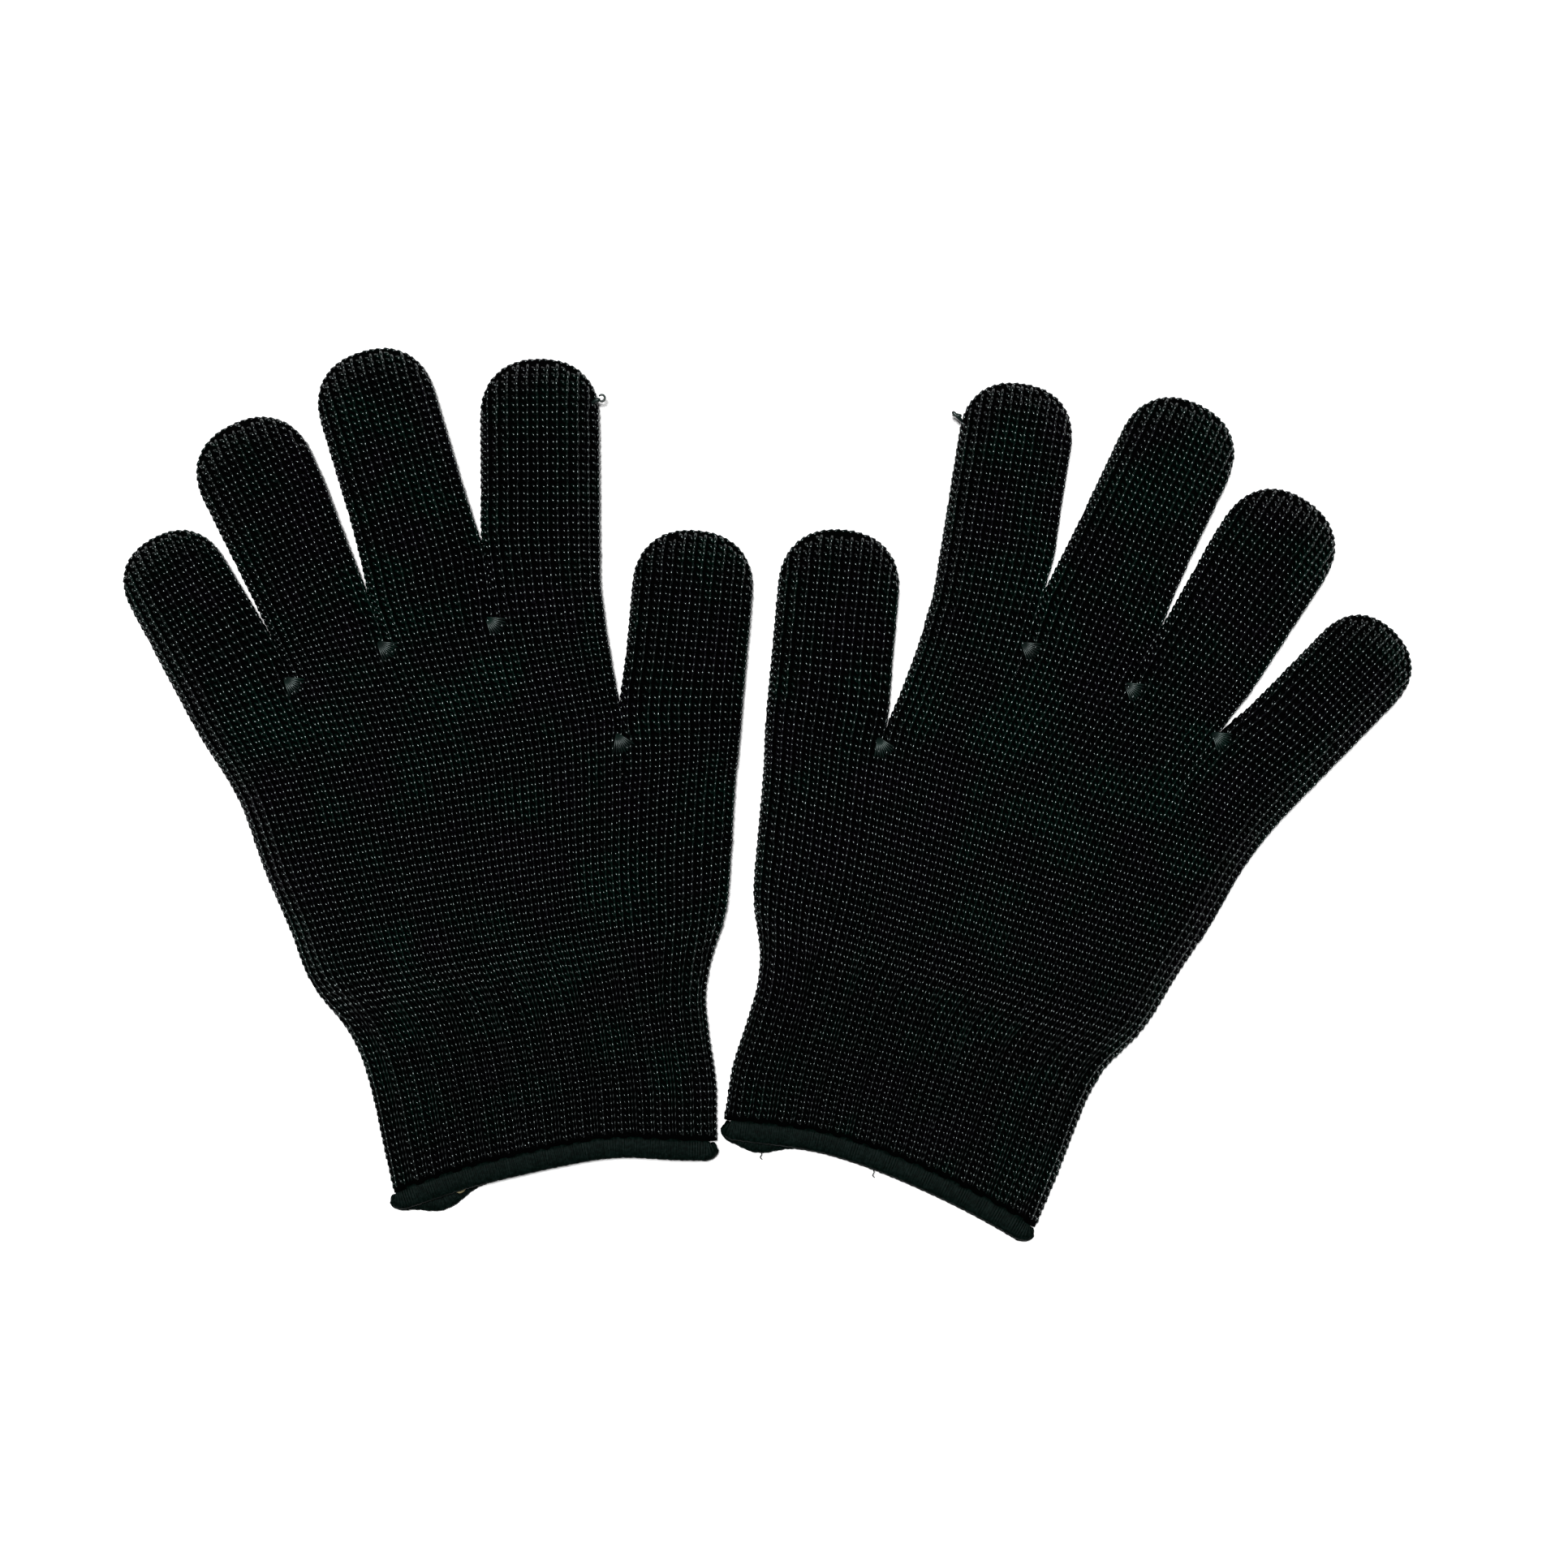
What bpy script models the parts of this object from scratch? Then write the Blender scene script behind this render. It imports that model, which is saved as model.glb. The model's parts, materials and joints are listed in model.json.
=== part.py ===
"""A pair of knitted cut-resistant work gloves, laid flat side by side with their thumbs inward.

Each glove is drawn in its own flat frame: x runs from the little finger's side to the thumb's
side, y runs from the mouth of the cuff to the fingertips, and z is up from the table. The knit is
a hollow shell with two faces. It is split where the cloth folds: at the wrist, along the
knuckles, and at two places on each finger. Every fold is a hinge at half the glove's thickness.
The piece beyond a hinge starts with a round nose about the hinge, and the piece before it ends
square just short of that nose, so the pieces clear each other through the whole fold.
"""

import math

import bmesh
import bpy
from mathutils import Matrix, Vector

MM = 0.001

# The knit, in metres.
THICKNESS = 9.0 * MM
WALL = 1.3 * MM
EDGE_ROLL = 7.0 * MM
HALF = THICKNESS / 2
CLEARANCE = 0.3 * MM
NOSE_LIP = 0.3 * MM
SLIT = 0.5 * MM

# The hem and the elastic thread inside the cuff.
HEM_WALL = 2.2 * MM
HEM_ARCH = 5.0 * MM
HEM_LOW = -1.0 * MM
HEM_HIGH = 4.6 * MM
ELASTIC_THICKNESS = 0.6 * MM
ELASTIC_LOW = 9.0 * MM
ELASTIC_WIDTH = 1.2 * MM

# The darning at each crotch and the knot at the index fingertip.
DARNING_RADIUS = 0.9 * MM
DARNING_LENGTH = 6.0 * MM
KNOT_RADIUS = 1.1 * MM
KNOT_LENGTH = 4.0 * MM
KNOT_FROM_TIP = 12.0 * MM

# Folds across the whole glove: how far up from the cuff's mouth.
WRIST_FOLD = 48.0 * MM
KNUCKLE_FOLD = 126.0 * MM

# Edges of the hand and the cuff in a glove's frame, in millimetres, from the mouth upwards.
LITTLE_EDGE = [
    (-42.6, 5), (-43.6, 18), (-44.2, 32), (-45.4, 42), (-47.0, 48),
    (-54.0, 62), (-57.2, 78), (-61.2, 94), (-64.6, 112), (-68.6, 124), (-75.0, 140),
]
THUMB_EDGE = [
    (44.2, 5), (46.6, 18), (47.2, 32), (48.0, 42), (49.4, 48),
    (55.8, 62), (60.2, 78), (64.2, 94), (69.4, 112),
]

FOUR_FINGERS = ("little", "ring", "middle", "index")

# Crotches of the fingers in a glove's frame, in millimetres.
CROTCHES = {
    "little_ring": (-46.0, 143.0),
    "ring_middle": (-20.0, 148.0),
    "middle_index": (9.3, 149.4),
    "index_thumb": (37.5, 113.0),
}
INDEX_SIDE = [(37.2, 112.4), (37.1, 121.2), (37.6, 144.6)]
THUMB_SIDE = [(38.1, 112.3), (69.2, 108.2)]

# Rows of the five-finger body: how far up from the mouth, and where the line between the wales
# of the fingers and those of the thumb crosses, in millimetres.
HAND_ROWS = [(52.8, 22.0), (62.0, 25.5), (78.0, 30.0), (94.0, 34.0)]
HAND_TOP = {"little": 112.0, "seam": (37.5, 111.7), "thumb": (69.0, 107.6)}
ROOTS_AT_LITTLE_EDGE = 138.8
# Rows of the cuff: how far up from the mouth in millimetres, and how much of the hem's bow.
CUFF_ROWS = [(34.0, 0.2), (20.0, 0.55)]
ELASTIC_BOW = 0.85

# Each finger: the middle of its root and half its width in millimetres, then how far its two
# folds are from the root.
FINGERS = {
    "little": {"root": (-61.1, 140.5), "half_width": 13.3, "folds": (17.0, 32.0)},
    "ring": {"root": (-32.1, 145.5), "half_width": 15.0, "folds": (24.5, 46.0)},
    "middle": {"root": (-4.5, 148.7), "half_width": 15.0, "folds": (25.0, 50.0)},
    "index": {"root": (21.2, 147.0), "half_width": 14.7, "folds": (23.5, 46.0)},
    "thumb": {"root": (53.2, 113.0), "half_width": 15.8, "folds": (8.0, 29.0)},
}

# The two gloves are mirror images that lie a little differently: where the middle of the cuff's
# mouth is and how far the glove is turned, then each finger's lean and length.
GLOVES = {
    "left": {
        "mirror": 1,
        "mouth": (-42.8, 0.0),
        "turn": 10.0,
        "leans": {"little": -18.0, "ring": -15.0, "middle": -6.7, "index": 9.6, "thumb": 15.0},
        "lengths": {"little": 48.1, "ring": 69.2, "middle": 77.1, "index": 69.3, "thumb": 51.9},
    },
    "right": {
        "mirror": -1,
        "mouth": (42.8, -2.4),
        "turn": -18.7,
        "leans": {"little": -25.7, "ring": -14.6, "middle": -6.7, "index": 9.6, "thumb": 13.4},
        "lengths": {"little": 48.0, "ring": 65.8, "middle": 76.0, "index": 68.4, "thumb": 50.9},
    },
}

# How finely the shells are faceted.
ARC_STEPS = 4
TIP_STEPS = (0.45, 0.7, 0.88, 0.97)
TIP_POWER = 2.3
NOSE_ANGLES = (70.0, 90.0)
ROD_SIDES = 8
DOME_ANGLES = (math.radians(20), math.radians(50), math.radians(90))


def clear_scene():
    for obj in list(bpy.data.objects):
        bpy.data.objects.remove(obj, do_unlink=True)


def material(name, colour, roughness):
    made = bpy.data.materials.new(name)
    made.use_nodes = True
    shader = made.node_tree.nodes["Principled BSDF"]
    shader.inputs["Base Color"].default_value = (*colour, 1.0)
    shader.inputs["Roughness"].default_value = roughness
    shader.inputs["Metallic"].default_value = 0.0
    return made


def mm(point):
    return Vector(point) * MM


def at_height(edge, height):
    """The point of an edge, in millimetres, at this distance up from the mouth."""
    for (x0, y0), (x1, y1) in zip(edge, edge[1:]):
        if y0 <= height <= y1:
            share = (height - y0) / (y1 - y0)
            return mm((x0 + (x1 - x0) * share, height))
    raise ValueError(f"the edge doesn't reach {height} mm")


def along(row, distance):
    """The point this far along a row of points."""
    for start, end in zip(row, row[1:]):
        length = (end - start).length
        if distance <= length or end is row[-1]:
            return start.lerp(end, distance / length)
        distance -= length


def section(row, half_height, inset):
    """The loop of points round a flat tube where it crosses a row, rolled over at both edges."""
    total = sum((b - a).length for a, b in zip(row, row[1:]))
    roll = min(EDGE_ROLL, 0.475 * total) - inset
    arc = [
        (inset + roll * (1 - math.cos(angle)), half_height * math.sin(angle))
        for angle in (math.pi / 2 * step / ARC_STEPS for step in range(1, ARC_STEPS + 1))
    ]
    bends = []
    passed = 0.0
    for a, b in zip(row[:-2], row[1:-1]):
        passed += (b - a).length
        bends.append((passed, half_height))
    top = arc + bends + [(total - far, rise) for far, rise in reversed(arc)]
    loop = [(inset, 0.0), *top, (total - inset, 0.0)]
    loop += [(far, -rise) for far, rise in reversed(top)]
    return [along(row, far).to_3d() + Vector((0, 0, HALF + rise)) for far, rise in loop]


def join_rings(mesh, rings, closed_ends):
    """Faces between each ring of vertices and the next, and over an end that is one point."""
    for lower, upper in zip(rings, rings[1:]):
        count = max(len(lower), len(upper))
        for i in range(count):
            j = (i + 1) % count
            if len(upper) == 1:
                mesh.faces.new((lower[i], lower[j], upper[0]))
            else:
                mesh.faces.new((lower[i], lower[j], upper[j], upper[i]))
    if closed_ends:
        mesh.faces.new(rings[0])
        mesh.faces.new(rings[-1])


def world_place(empty):
    """Where an empty is: bodies are moved but never turned, so their places add up."""
    place = empty.location.copy()
    if empty.parent is not None:
        place += world_place(empty.parent)
    return place


class Glove:
    """One glove: it places points of its own frame in the room and makes its bodies and pieces."""

    def __init__(self, side):
        plan = GLOVES[side]
        self.side = side
        self.leans = plan["leans"]
        self.lengths = plan["lengths"]
        flip = Matrix.Diagonal((plan["mirror"], 1, 1, 1))
        turn = Matrix.Rotation(math.radians(plan["turn"]), 4, "Z")
        self.place = Matrix.Translation(mm((*plan["mouth"], 0))) @ turn @ flip

    def body(self, name, parent, pivot):
        """An empty on the hinge of a moving body."""
        empty = bpy.data.objects.new(f"{self.side}_{name}_body", None)
        bpy.context.scene.collection.objects.link(empty)
        empty.location = self.place @ Vector((*pivot, HALF))
        if parent is not None:
            empty.location -= world_place(parent)
            empty.parent = parent
        return empty

    def piece(self, name, body, mesh, surface):
        """An object made of a mesh in the glove's frame, with its origin on its body's hinge."""
        bmesh.ops.transform(mesh, matrix=self.place, verts=mesh.verts)
        bmesh.ops.translate(mesh, vec=-world_place(body), verts=mesh.verts)
        bmesh.ops.recalc_face_normals(mesh, faces=mesh.faces)
        data = bpy.data.meshes.new(name)
        mesh.to_mesh(data)
        mesh.free()
        data.materials.append(surface)
        data.shade_smooth()
        data.set_sharp_from_angle(angle=math.radians(50))
        made = bpy.data.objects.new(f"{self.side}_{name}", data)
        bpy.context.scene.collection.objects.link(made)
        made.parent = body
        return made

    def shell(self, name, body, outer, inner, surface):
        """A hollow piece. Outer and inner list (row, half height, inset), from its open start."""
        mesh = bmesh.new()
        skins = []
        for rows in (outer, inner):
            rings = []
            for row, half_height, inset in rows:
                points = [row[0].to_3d() + Vector((0, 0, HALF))]
                if len(row) > 1:
                    points = section(row, half_height, inset)
                rings.append([mesh.verts.new(point) for point in points])
            join_rings(mesh, rings, closed_ends=False)
            skins.append(rings)
        join_rings(mesh, [skins[0][0], skins[1][0]], closed_ends=False)
        if len(skins[0][-1]) > 1:
            join_rings(mesh, [skins[0][-1], skins[1][-1]], closed_ends=False)
        return self.piece(name, body, mesh, surface)

    def rod(self, name, body, start, end, radius, height, surface):
        """A short round bar with domed ends, lying at this height."""
        way = (end - start).to_3d()
        turn = way.to_track_quat("Z", "Y").to_matrix().to_4x4()
        lift = Matrix.Translation(start.to_3d() + Vector((0, 0, height)))
        mesh = bmesh.new()
        dome = [(-radius * math.cos(angle), radius * math.sin(angle)) for angle in DOME_ANGLES]
        profile = dome + [(way.length - far, width) for far, width in reversed(dome)]
        rings = []
        for far, width in profile:
            made = bmesh.ops.create_circle(mesh, segments=ROD_SIDES, radius=width)["verts"]
            bmesh.ops.translate(mesh, vec=(0, 0, far), verts=made)
            rings.append(made)
        join_rings(mesh, rings, closed_ends=True)
        bmesh.ops.transform(mesh, matrix=lift @ turn, verts=mesh.verts)
        return self.piece(name, body, mesh, surface)


def shifted(row, way, distance):
    return [point + way * distance for point in row]


def nose(row, way):
    """Rows of the round start of a piece: a cylinder about the row that is its hinge."""
    opening = HALF - WALL + NOSE_LIP
    angles = [math.asin(opening / HALF)]
    angles += [math.radians(angle) for angle in NOSE_ANGLES]
    return [
        (shifted(row, way, -HALF * math.cos(angle)), HALF * math.sin(angle), 0.0)
        for angle in angles
    ]


def cavity(rows, wall=WALL):
    return [(row, HALF - wall, wall) for row in rows]


def arched(height, arch, steps=4):
    """A row across the cuff, bowed up in the middle by this much."""
    level = max(height / MM, LITTLE_EDGE[0][1])
    first = at_height(LITTLE_EDGE, level).x
    last = at_height(THUMB_EDGE, level).x
    shares = [step / steps for step in range(steps + 1)]
    return [
        Vector((first + (last - first) * share, height + arch * (1 - (2 * share - 1) ** 2)))
        for share in shares
    ]


def across(height, seam_x):
    """A row across the hand, with one point between its edges above the thumb's wales."""
    return [at_height(LITTLE_EDGE, height), mm((seam_x, height)), at_height(THUMB_EDGE, height)]


def finger_frame(glove, name):
    root = mm(FINGERS[name]["root"])
    lean = math.radians(glove.leans[name])
    return root, Vector((math.sin(lean), math.cos(lean)))


def finger_row(glove, name, distance, half_width):
    """A row straight across a finger at this distance from its root."""
    root, way = finger_frame(glove, name)
    side = Vector((way.y, -way.x))
    middle = root + way * distance
    return [middle - side * half_width, middle + side * half_width]


def add_cuff(glove, palm, surfaces):
    """The elastic cuff, its overlocked hem, and the elastic thread laid inside it."""
    cuff = glove.body("cuff", palm, (0, WRIST_FOLD))
    start = nose(arched(WRIST_FOLD, 0.0), Vector((0, -1)))
    rows = [arched(height * MM, bow * HEM_ARCH) for height, bow in CUFF_ROWS]
    rows.append(arched(HEM_HIGH + CLEARANCE, HEM_ARCH))
    outer = start + [(row, HALF, 0.0) for row in rows]
    glove.shell("cuff", cuff, outer, cavity([start[0][0], *rows]), surfaces["knit"])

    rows = [arched(HEM_HIGH, HEM_ARCH), arched(HEM_LOW, HEM_ARCH)]
    outer = [(row, HALF, 0.0) for row in rows]
    glove.shell("hem_binding", cuff, outer, cavity(rows, HEM_WALL), surfaces["thread"])

    bow = ELASTIC_BOW * HEM_ARCH
    rows = [arched(ELASTIC_LOW + ELASTIC_WIDTH, bow), arched(ELASTIC_LOW, bow)]
    near = WALL + CLEARANCE
    outer = cavity(rows, near)
    glove.shell("cuff_elastic", cuff, outer, cavity(rows, near + ELASTIC_THICKNESS),
                surfaces["rubber"])


def add_plain_shell(glove, name, body, rows, surface):
    """A hollow stretch of knit that is open at both ends."""
    glove.shell(name, body, [(row, HALF, 0.0) for row in rows], cavity(rows), surface)


def add_hand(glove, palm, knit):
    """The five-finger body of the knit, and above it the thumb's root and the four-finger body."""
    top = at_height(LITTLE_EDGE, HAND_TOP["little"])
    rows = [across(height, seam_x) for height, seam_x in HAND_ROWS]
    rows.append([top, mm(HAND_TOP["seam"]), mm(HAND_TOP["thumb"])])
    add_plain_shell(glove, "palm", palm, rows, knit)

    end = KNUCKLE_FOLD - HALF - CLEARANCE
    low = [top + Vector((0, CLEARANCE)), mm(INDEX_SIDE[0])]
    high = [at_height(LITTLE_EDGE, end / MM), mm(INDEX_SIDE[1])]
    add_plain_shell(glove, "upper_palm", palm, [low, high], knit)

    fold = FINGERS["thumb"]["folds"][0] * MM
    width = FINGERS["thumb"]["half_width"] * MM
    cut = finger_row(glove, "thumb", fold - HALF - CLEARANCE, width)
    low = [mm(point) for point in THUMB_SIDE]
    add_plain_shell(glove, "thumb_root", palm, [low, cut], knit)


def knuckle_rows():
    """The first and last rows of the four-finger body above the knuckles."""
    tops = [at_height(LITTLE_EDGE, ROOTS_AT_LITTLE_EDGE)]
    tops += [mm(CROTCHES[name]) for name in ("little_ring", "ring_middle", "middle_index")]
    tops.append(mm(INDEX_SIDE[2]))
    first = at_height(LITTLE_EDGE, KNUCKLE_FOLD / MM)
    last = Vector((INDEX_SIDE[1][0] * MM, KNUCKLE_FOLD))
    width = tops[-1].x - tops[0].x
    hinge = [first.lerp(last, (top.x - tops[0].x) / width) for top in tops]
    return hinge, tops


def add_knuckles(glove, palm, knit):
    knuckles = glove.body("knuckles", palm, (0, KNUCKLE_FOLD))
    hinge, tops = knuckle_rows()
    start = nose(hinge, Vector((0, 1)))
    inner = cavity([start[0][0], tops])
    glove.shell("knuckle_band", knuckles, start + [(tops, HALF, 0.0)], inner, knit)
    for name, little_side, thumb_side in zip(FOUR_FINGERS, tops, tops[1:]):
        add_finger_root(glove, name, knuckles, little_side, thumb_side, knit)
    return knuckles


def add_finger_root(glove, name, knuckles, little_side, thumb_side, knit):
    """The start of a finger, from the knit it shares with its neighbours to its first fold."""
    lift = Vector((0, CLEARANCE))
    apart = Vector((SLIT / 2, 0))
    low = [little_side + lift + apart, thumb_side + lift - apart]
    half_width = FINGERS[name]["half_width"] * MM
    first = FINGERS[name]["folds"][0] * MM
    high = finger_row(glove, name, first - HALF - CLEARANCE, half_width)
    add_plain_shell(glove, f"{name}_root", knuckles, [low, high], knit)


def add_finger(glove, name, base, knit):
    """The two stretches of a finger beyond its first fold."""
    way = finger_frame(glove, name)[1]
    half_width = FINGERS[name]["half_width"] * MM
    first, second = (fold * MM for fold in FINGERS[name]["folds"])
    root = mm(FINGERS[name]["root"])

    middle = glove.body(f"{name}_middle", base, root + way * first)
    start = nose(finger_row(glove, name, first, half_width), way)
    end = finger_row(glove, name, second - HALF - CLEARANCE, half_width)
    outer = start + [(end, HALF, 0.0)]
    glove.shell(f"{name}_middle", middle, outer, cavity([start[0][0], end]), knit)

    tip = glove.body(f"{name}_tip", middle, root + way * second)
    start = nose(finger_row(glove, name, second, half_width), way)
    end = glove.lengths[name] * MM
    outer = start + tip_rows(glove, name, end, half_width, 0.0)
    inner = cavity([start[0][0]]) + tip_rows(glove, name, end, half_width, WALL)
    glove.shell(f"{name}_tip", tip, outer, inner, knit)
    return tip


def tip_rows(glove, name, end, half_width, inset):
    """Rows that close a fingertip, rounded in plan and thinner towards its end."""
    reach = min(half_width, end - FINGERS[name]["folds"][1] * MM - MM)
    rows = []
    for share in (0.0, *TIP_STEPS):
        width = half_width * (1 - share**TIP_POWER) ** (1 / TIP_POWER)
        height = HALF * math.sqrt(1 - share**4)
        distance = end - reach + (reach - inset) * share
        narrow = inset * (1 - 0.5 * share)
        row = finger_row(glove, name, distance, width - narrow + inset)
        rows.append((row, height - narrow, inset))
    root, way = finger_frame(glove, name)
    rows.append(([root + way * (end - inset)], 0.0, 0.0))
    return rows


def add_darning(glove, crotch, body, way, thread):
    """The stitches that close the hole between two fingers, lying in the valley above it."""
    start = mm(CROTCHES[crotch]) + way * (DARNING_RADIUS + 2 * CLEARANCE)
    end = start + way * (DARNING_LENGTH - 2 * DARNING_RADIUS)
    height = THICKNESS - DARNING_RADIUS
    glove.rod(f"{crotch}_darning", body, start, end, DARNING_RADIUS, height, thread)


def add_knot(glove, tip, thread):
    """The knotted yarn end beside the index fingertip."""
    root, way = finger_frame(glove, "index")
    side = Vector((way.y, -way.x))
    out = side * (FINGERS["index"]["half_width"] * MM + KNOT_RADIUS + CLEARANCE)
    start = root + way * (glove.lengths["index"] * MM - KNOT_FROM_TIP) + out
    end = start + way * (KNOT_LENGTH - 2 * KNOT_RADIUS)
    glove.rod("index_tip_knot", tip, start, end, KNOT_RADIUS, HALF, thread)


def bisector(glove, first, second):
    """The direction halfway between two fingers."""
    return (finger_frame(glove, first)[1] + finger_frame(glove, second)[1]).normalized()


def add_glove(side, parent, surfaces):
    knit = surfaces["knit"]
    thread = surfaces["thread"]
    glove = Glove(side)
    palm = glove.body("palm", parent, (0, KNUCKLE_FOLD))
    add_cuff(glove, palm, surfaces)
    add_hand(glove, palm, knit)
    add_finger(glove, "thumb", palm, knit)
    add_darning(glove, "index_thumb", palm, Vector((0, 1)), thread)
    knuckles = add_knuckles(glove, palm, knit)
    for name in FOUR_FINGERS:
        tip = add_finger(glove, name, knuckles, knit)
        if name == "index":
            add_knot(glove, tip, thread)
    for first, second in zip(FOUR_FINGERS, FOUR_FINGERS[1:]):
        way = bisector(glove, first, second)
        add_darning(glove, f"{first}_{second}", knuckles, way, thread)
    return palm


def centre_on_origin(root):
    """Moves everything so that the middle of its footprint is at the origin."""
    bpy.context.view_layer.update()
    corners = [
        obj.matrix_world @ vertex.co
        for obj in bpy.data.objects
        if obj.type == "MESH"
        for vertex in obj.data.vertices
    ]
    for axis in (0, 1):
        values = [corner[axis] for corner in corners]
        root.location[axis] -= (min(values) + max(values)) / 2


def main():
    clear_scene()
    surfaces = {
        "knit": material("black_knit", (0.012, 0.014, 0.014), 0.6),
        "thread": material("black_yarn", (0.02, 0.022, 0.02), 0.7),
        "rubber": material("elastic_thread", (0.45, 0.36, 0.14), 0.6),
    }
    left = add_glove("left", None, surfaces)
    add_glove("right", left, surfaces)
    centre_on_origin(left)


main()
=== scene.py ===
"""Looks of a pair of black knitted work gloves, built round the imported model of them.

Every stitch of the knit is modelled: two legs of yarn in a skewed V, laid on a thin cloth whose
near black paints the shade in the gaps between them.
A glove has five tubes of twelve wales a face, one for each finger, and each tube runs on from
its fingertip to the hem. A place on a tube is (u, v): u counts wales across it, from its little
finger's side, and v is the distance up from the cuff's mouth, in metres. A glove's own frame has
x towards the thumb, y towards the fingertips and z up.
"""

import json
import math

import bpy
import numpy as np
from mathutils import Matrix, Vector


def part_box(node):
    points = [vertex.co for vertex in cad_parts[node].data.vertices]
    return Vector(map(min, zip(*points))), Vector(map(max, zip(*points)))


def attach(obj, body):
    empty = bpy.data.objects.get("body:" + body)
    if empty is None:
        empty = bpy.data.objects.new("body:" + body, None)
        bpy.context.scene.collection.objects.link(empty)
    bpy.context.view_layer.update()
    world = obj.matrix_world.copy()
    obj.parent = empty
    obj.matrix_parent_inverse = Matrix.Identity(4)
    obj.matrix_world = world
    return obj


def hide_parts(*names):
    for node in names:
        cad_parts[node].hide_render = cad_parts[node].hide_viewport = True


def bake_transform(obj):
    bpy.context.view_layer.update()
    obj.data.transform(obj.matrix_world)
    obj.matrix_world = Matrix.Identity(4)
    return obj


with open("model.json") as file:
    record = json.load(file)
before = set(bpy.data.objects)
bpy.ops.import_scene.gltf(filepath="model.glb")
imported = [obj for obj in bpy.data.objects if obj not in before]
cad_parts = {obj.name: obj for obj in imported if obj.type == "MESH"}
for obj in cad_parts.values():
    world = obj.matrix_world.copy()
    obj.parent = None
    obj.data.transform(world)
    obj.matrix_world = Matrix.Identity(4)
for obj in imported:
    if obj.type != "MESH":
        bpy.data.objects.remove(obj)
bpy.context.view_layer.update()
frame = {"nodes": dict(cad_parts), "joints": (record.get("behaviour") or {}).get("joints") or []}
rng = np.random.default_rng(11)

MM = 0.001
TUBES = ("little", "ring", "middle", "index", "thumb")
WALES = 12
COURSE = 1.95 * MM

# The outline of the hand, as (x, y) in a glove's own frame, in mm: its two sides from the mouth
# up, the line where the thumb's wales meet the others, and the crotches between the tubes.
LITTLE_EDGE = (
    (-42.6, 0), (-42.9, 5), (-43.6, 18), (-44.2, 32), (-45.4, 42), (-47, 48), (-54, 62),
    (-57.2, 78), (-61.2, 94), (-64.6, 112),
)
THUMB_EDGE = (
    (44.2, 0), (44.5, 5), (46.6, 18), (47.2, 32), (48, 42), (49.4, 48), (55.8, 62),
    (60.2, 78), (64.2, 94),
)
THUMB_SEAM = (
    (26.8, 0), (27, 5), (28.5, 18), (29, 32), (29.2, 42), (29.5, 48), (29.6, 62),
    (31, 78), (34, 94), (37.3, 112),
)
CROTCHES = ((-46, 143), (-20, 148), (9.3, 149.4), (37.5, 113))
# The index finger's thumb side, above the thumb's crotch, and where its own straight side starts.
INDEX_CORNER = {"left": (38.3, 144.6), "right": (36.6, 144.6)}
INDEX_SIDE = {
    "left": ((38.2, 117), (38.1, 124), (38.1, 133)),
    "right": ((37.5, 117), (37.0, 124), (36.6, 133)),
}

# Each tube: half its width, and how far up from its root its first fold lies, in mm.
HALF_WIDTHS = (13.3, 15.0, 15.0, 14.7, 15.8)
FOLDS = (17.0, 24.5, 25.0, 23.5, 8.0)
# How much further out than that its knit stands on each side, in mm.
KNIT_SPREAD = 0.55
THUMB_SPREAD = 0.15
# How far neighbouring fingers lean out over their crotch, and the thumb over its own, in mm.
TOUCHES = {"left": (1.6, 1.7, 0.5), "right": (0.0, 1.5, 0.6)}
TOUCH_REACH = 38 * MM
THUMB_TOUCH = {"left": 0.75, "right": 0.35}
THUMB_TOUCH_RISE = 4 * MM
THUMB_TOUCH_FALL = 18 * MM

# The two gloves lie a little differently: how far each stands out from that outline, in mm.
OUTER_SHIFTS = {
    "left": (0.25, 0.25, 0.15, 0.15, 0.25, 0.45, 0.85, 1.05, 0.85, 0.55),
    "right": (-0.6, -0.5, -0.2, -0.2, -0.7, -1.1, -1.6, -0.9, -0.8, -0.5),
}
THUMB_SHIFTS = {
    "left": (-0.75, -0.75, -0.65, -0.75, -0.55, 0.05, 0.45, 0.45, 0.25),
    "right": (0.65, 0.65, 0.65, 0.35, 0.15, 0.25, 0.35, 0.25, 0.15),
}
# And how much wider each tube is on its two sides, in mm.
TUBE_SHIFTS = {
    "left": ((0, 0), (0.4, 0.2), (-0.45, 0.55), (0, 0.9), (0, 0)),
    "right": ((-0.6, -0.5), (-0.1, -0.1), (0, -0.4), (0, -0.9), (0, 0)),
}
# How far the cuff's mouth dips below its arch, as (x, dip) in mm.
MOUTH_DIPS = {
    "left": (
        (-44, 0.3), (-34, 0.6), (-22, 0.6), (-9, 0.85), (3, 0.6), (12, 0.2), (20, 0.4), (25, 1.0),
        (30, 1.6), (35, 1.85), (44, 1.9),
    ),
    "right": (
        (-44, 1.1), (-37, 0.9), (-25, 0.6), (-12, 0.2), (1, -0.4), (7, -0.7), (17, -1.0),
        (24, -0.8), (34, -0.2), (44, 0.0),
    ),
}
DIP_REACH = 26 * MM

# The thin cloth under the yarn: its heights, how far in from an edge it rolls over and then
# swells to its crown, its thickness, and the crown's height by the distance up the glove.
FLOOR_GAP = 0.95 * MM
RIM_HEIGHT = 2.5 * MM
SIDE_TOP = 4.3 * MM
PILLOW = 7.0 * MM
ROLL = 2.2 * MM
CLOTH = 1.1 * MM
CROWN_V = (0.0, 20 * MM, 48 * MM, 75 * MM)
CROWN_Z = (4.6 * MM, 5.4 * MM, 6.0 * MM, 7.2 * MM)
# The line where two tubes are joined counts as this far from an edge.
JOINED_INSET = 8 * MM
# The hand's slow waves, and the gathers above the cuff.
WAVE_HEIGHT = 0.06 * MM
GATHER_HEIGHT = 0.17 * MM

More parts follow.
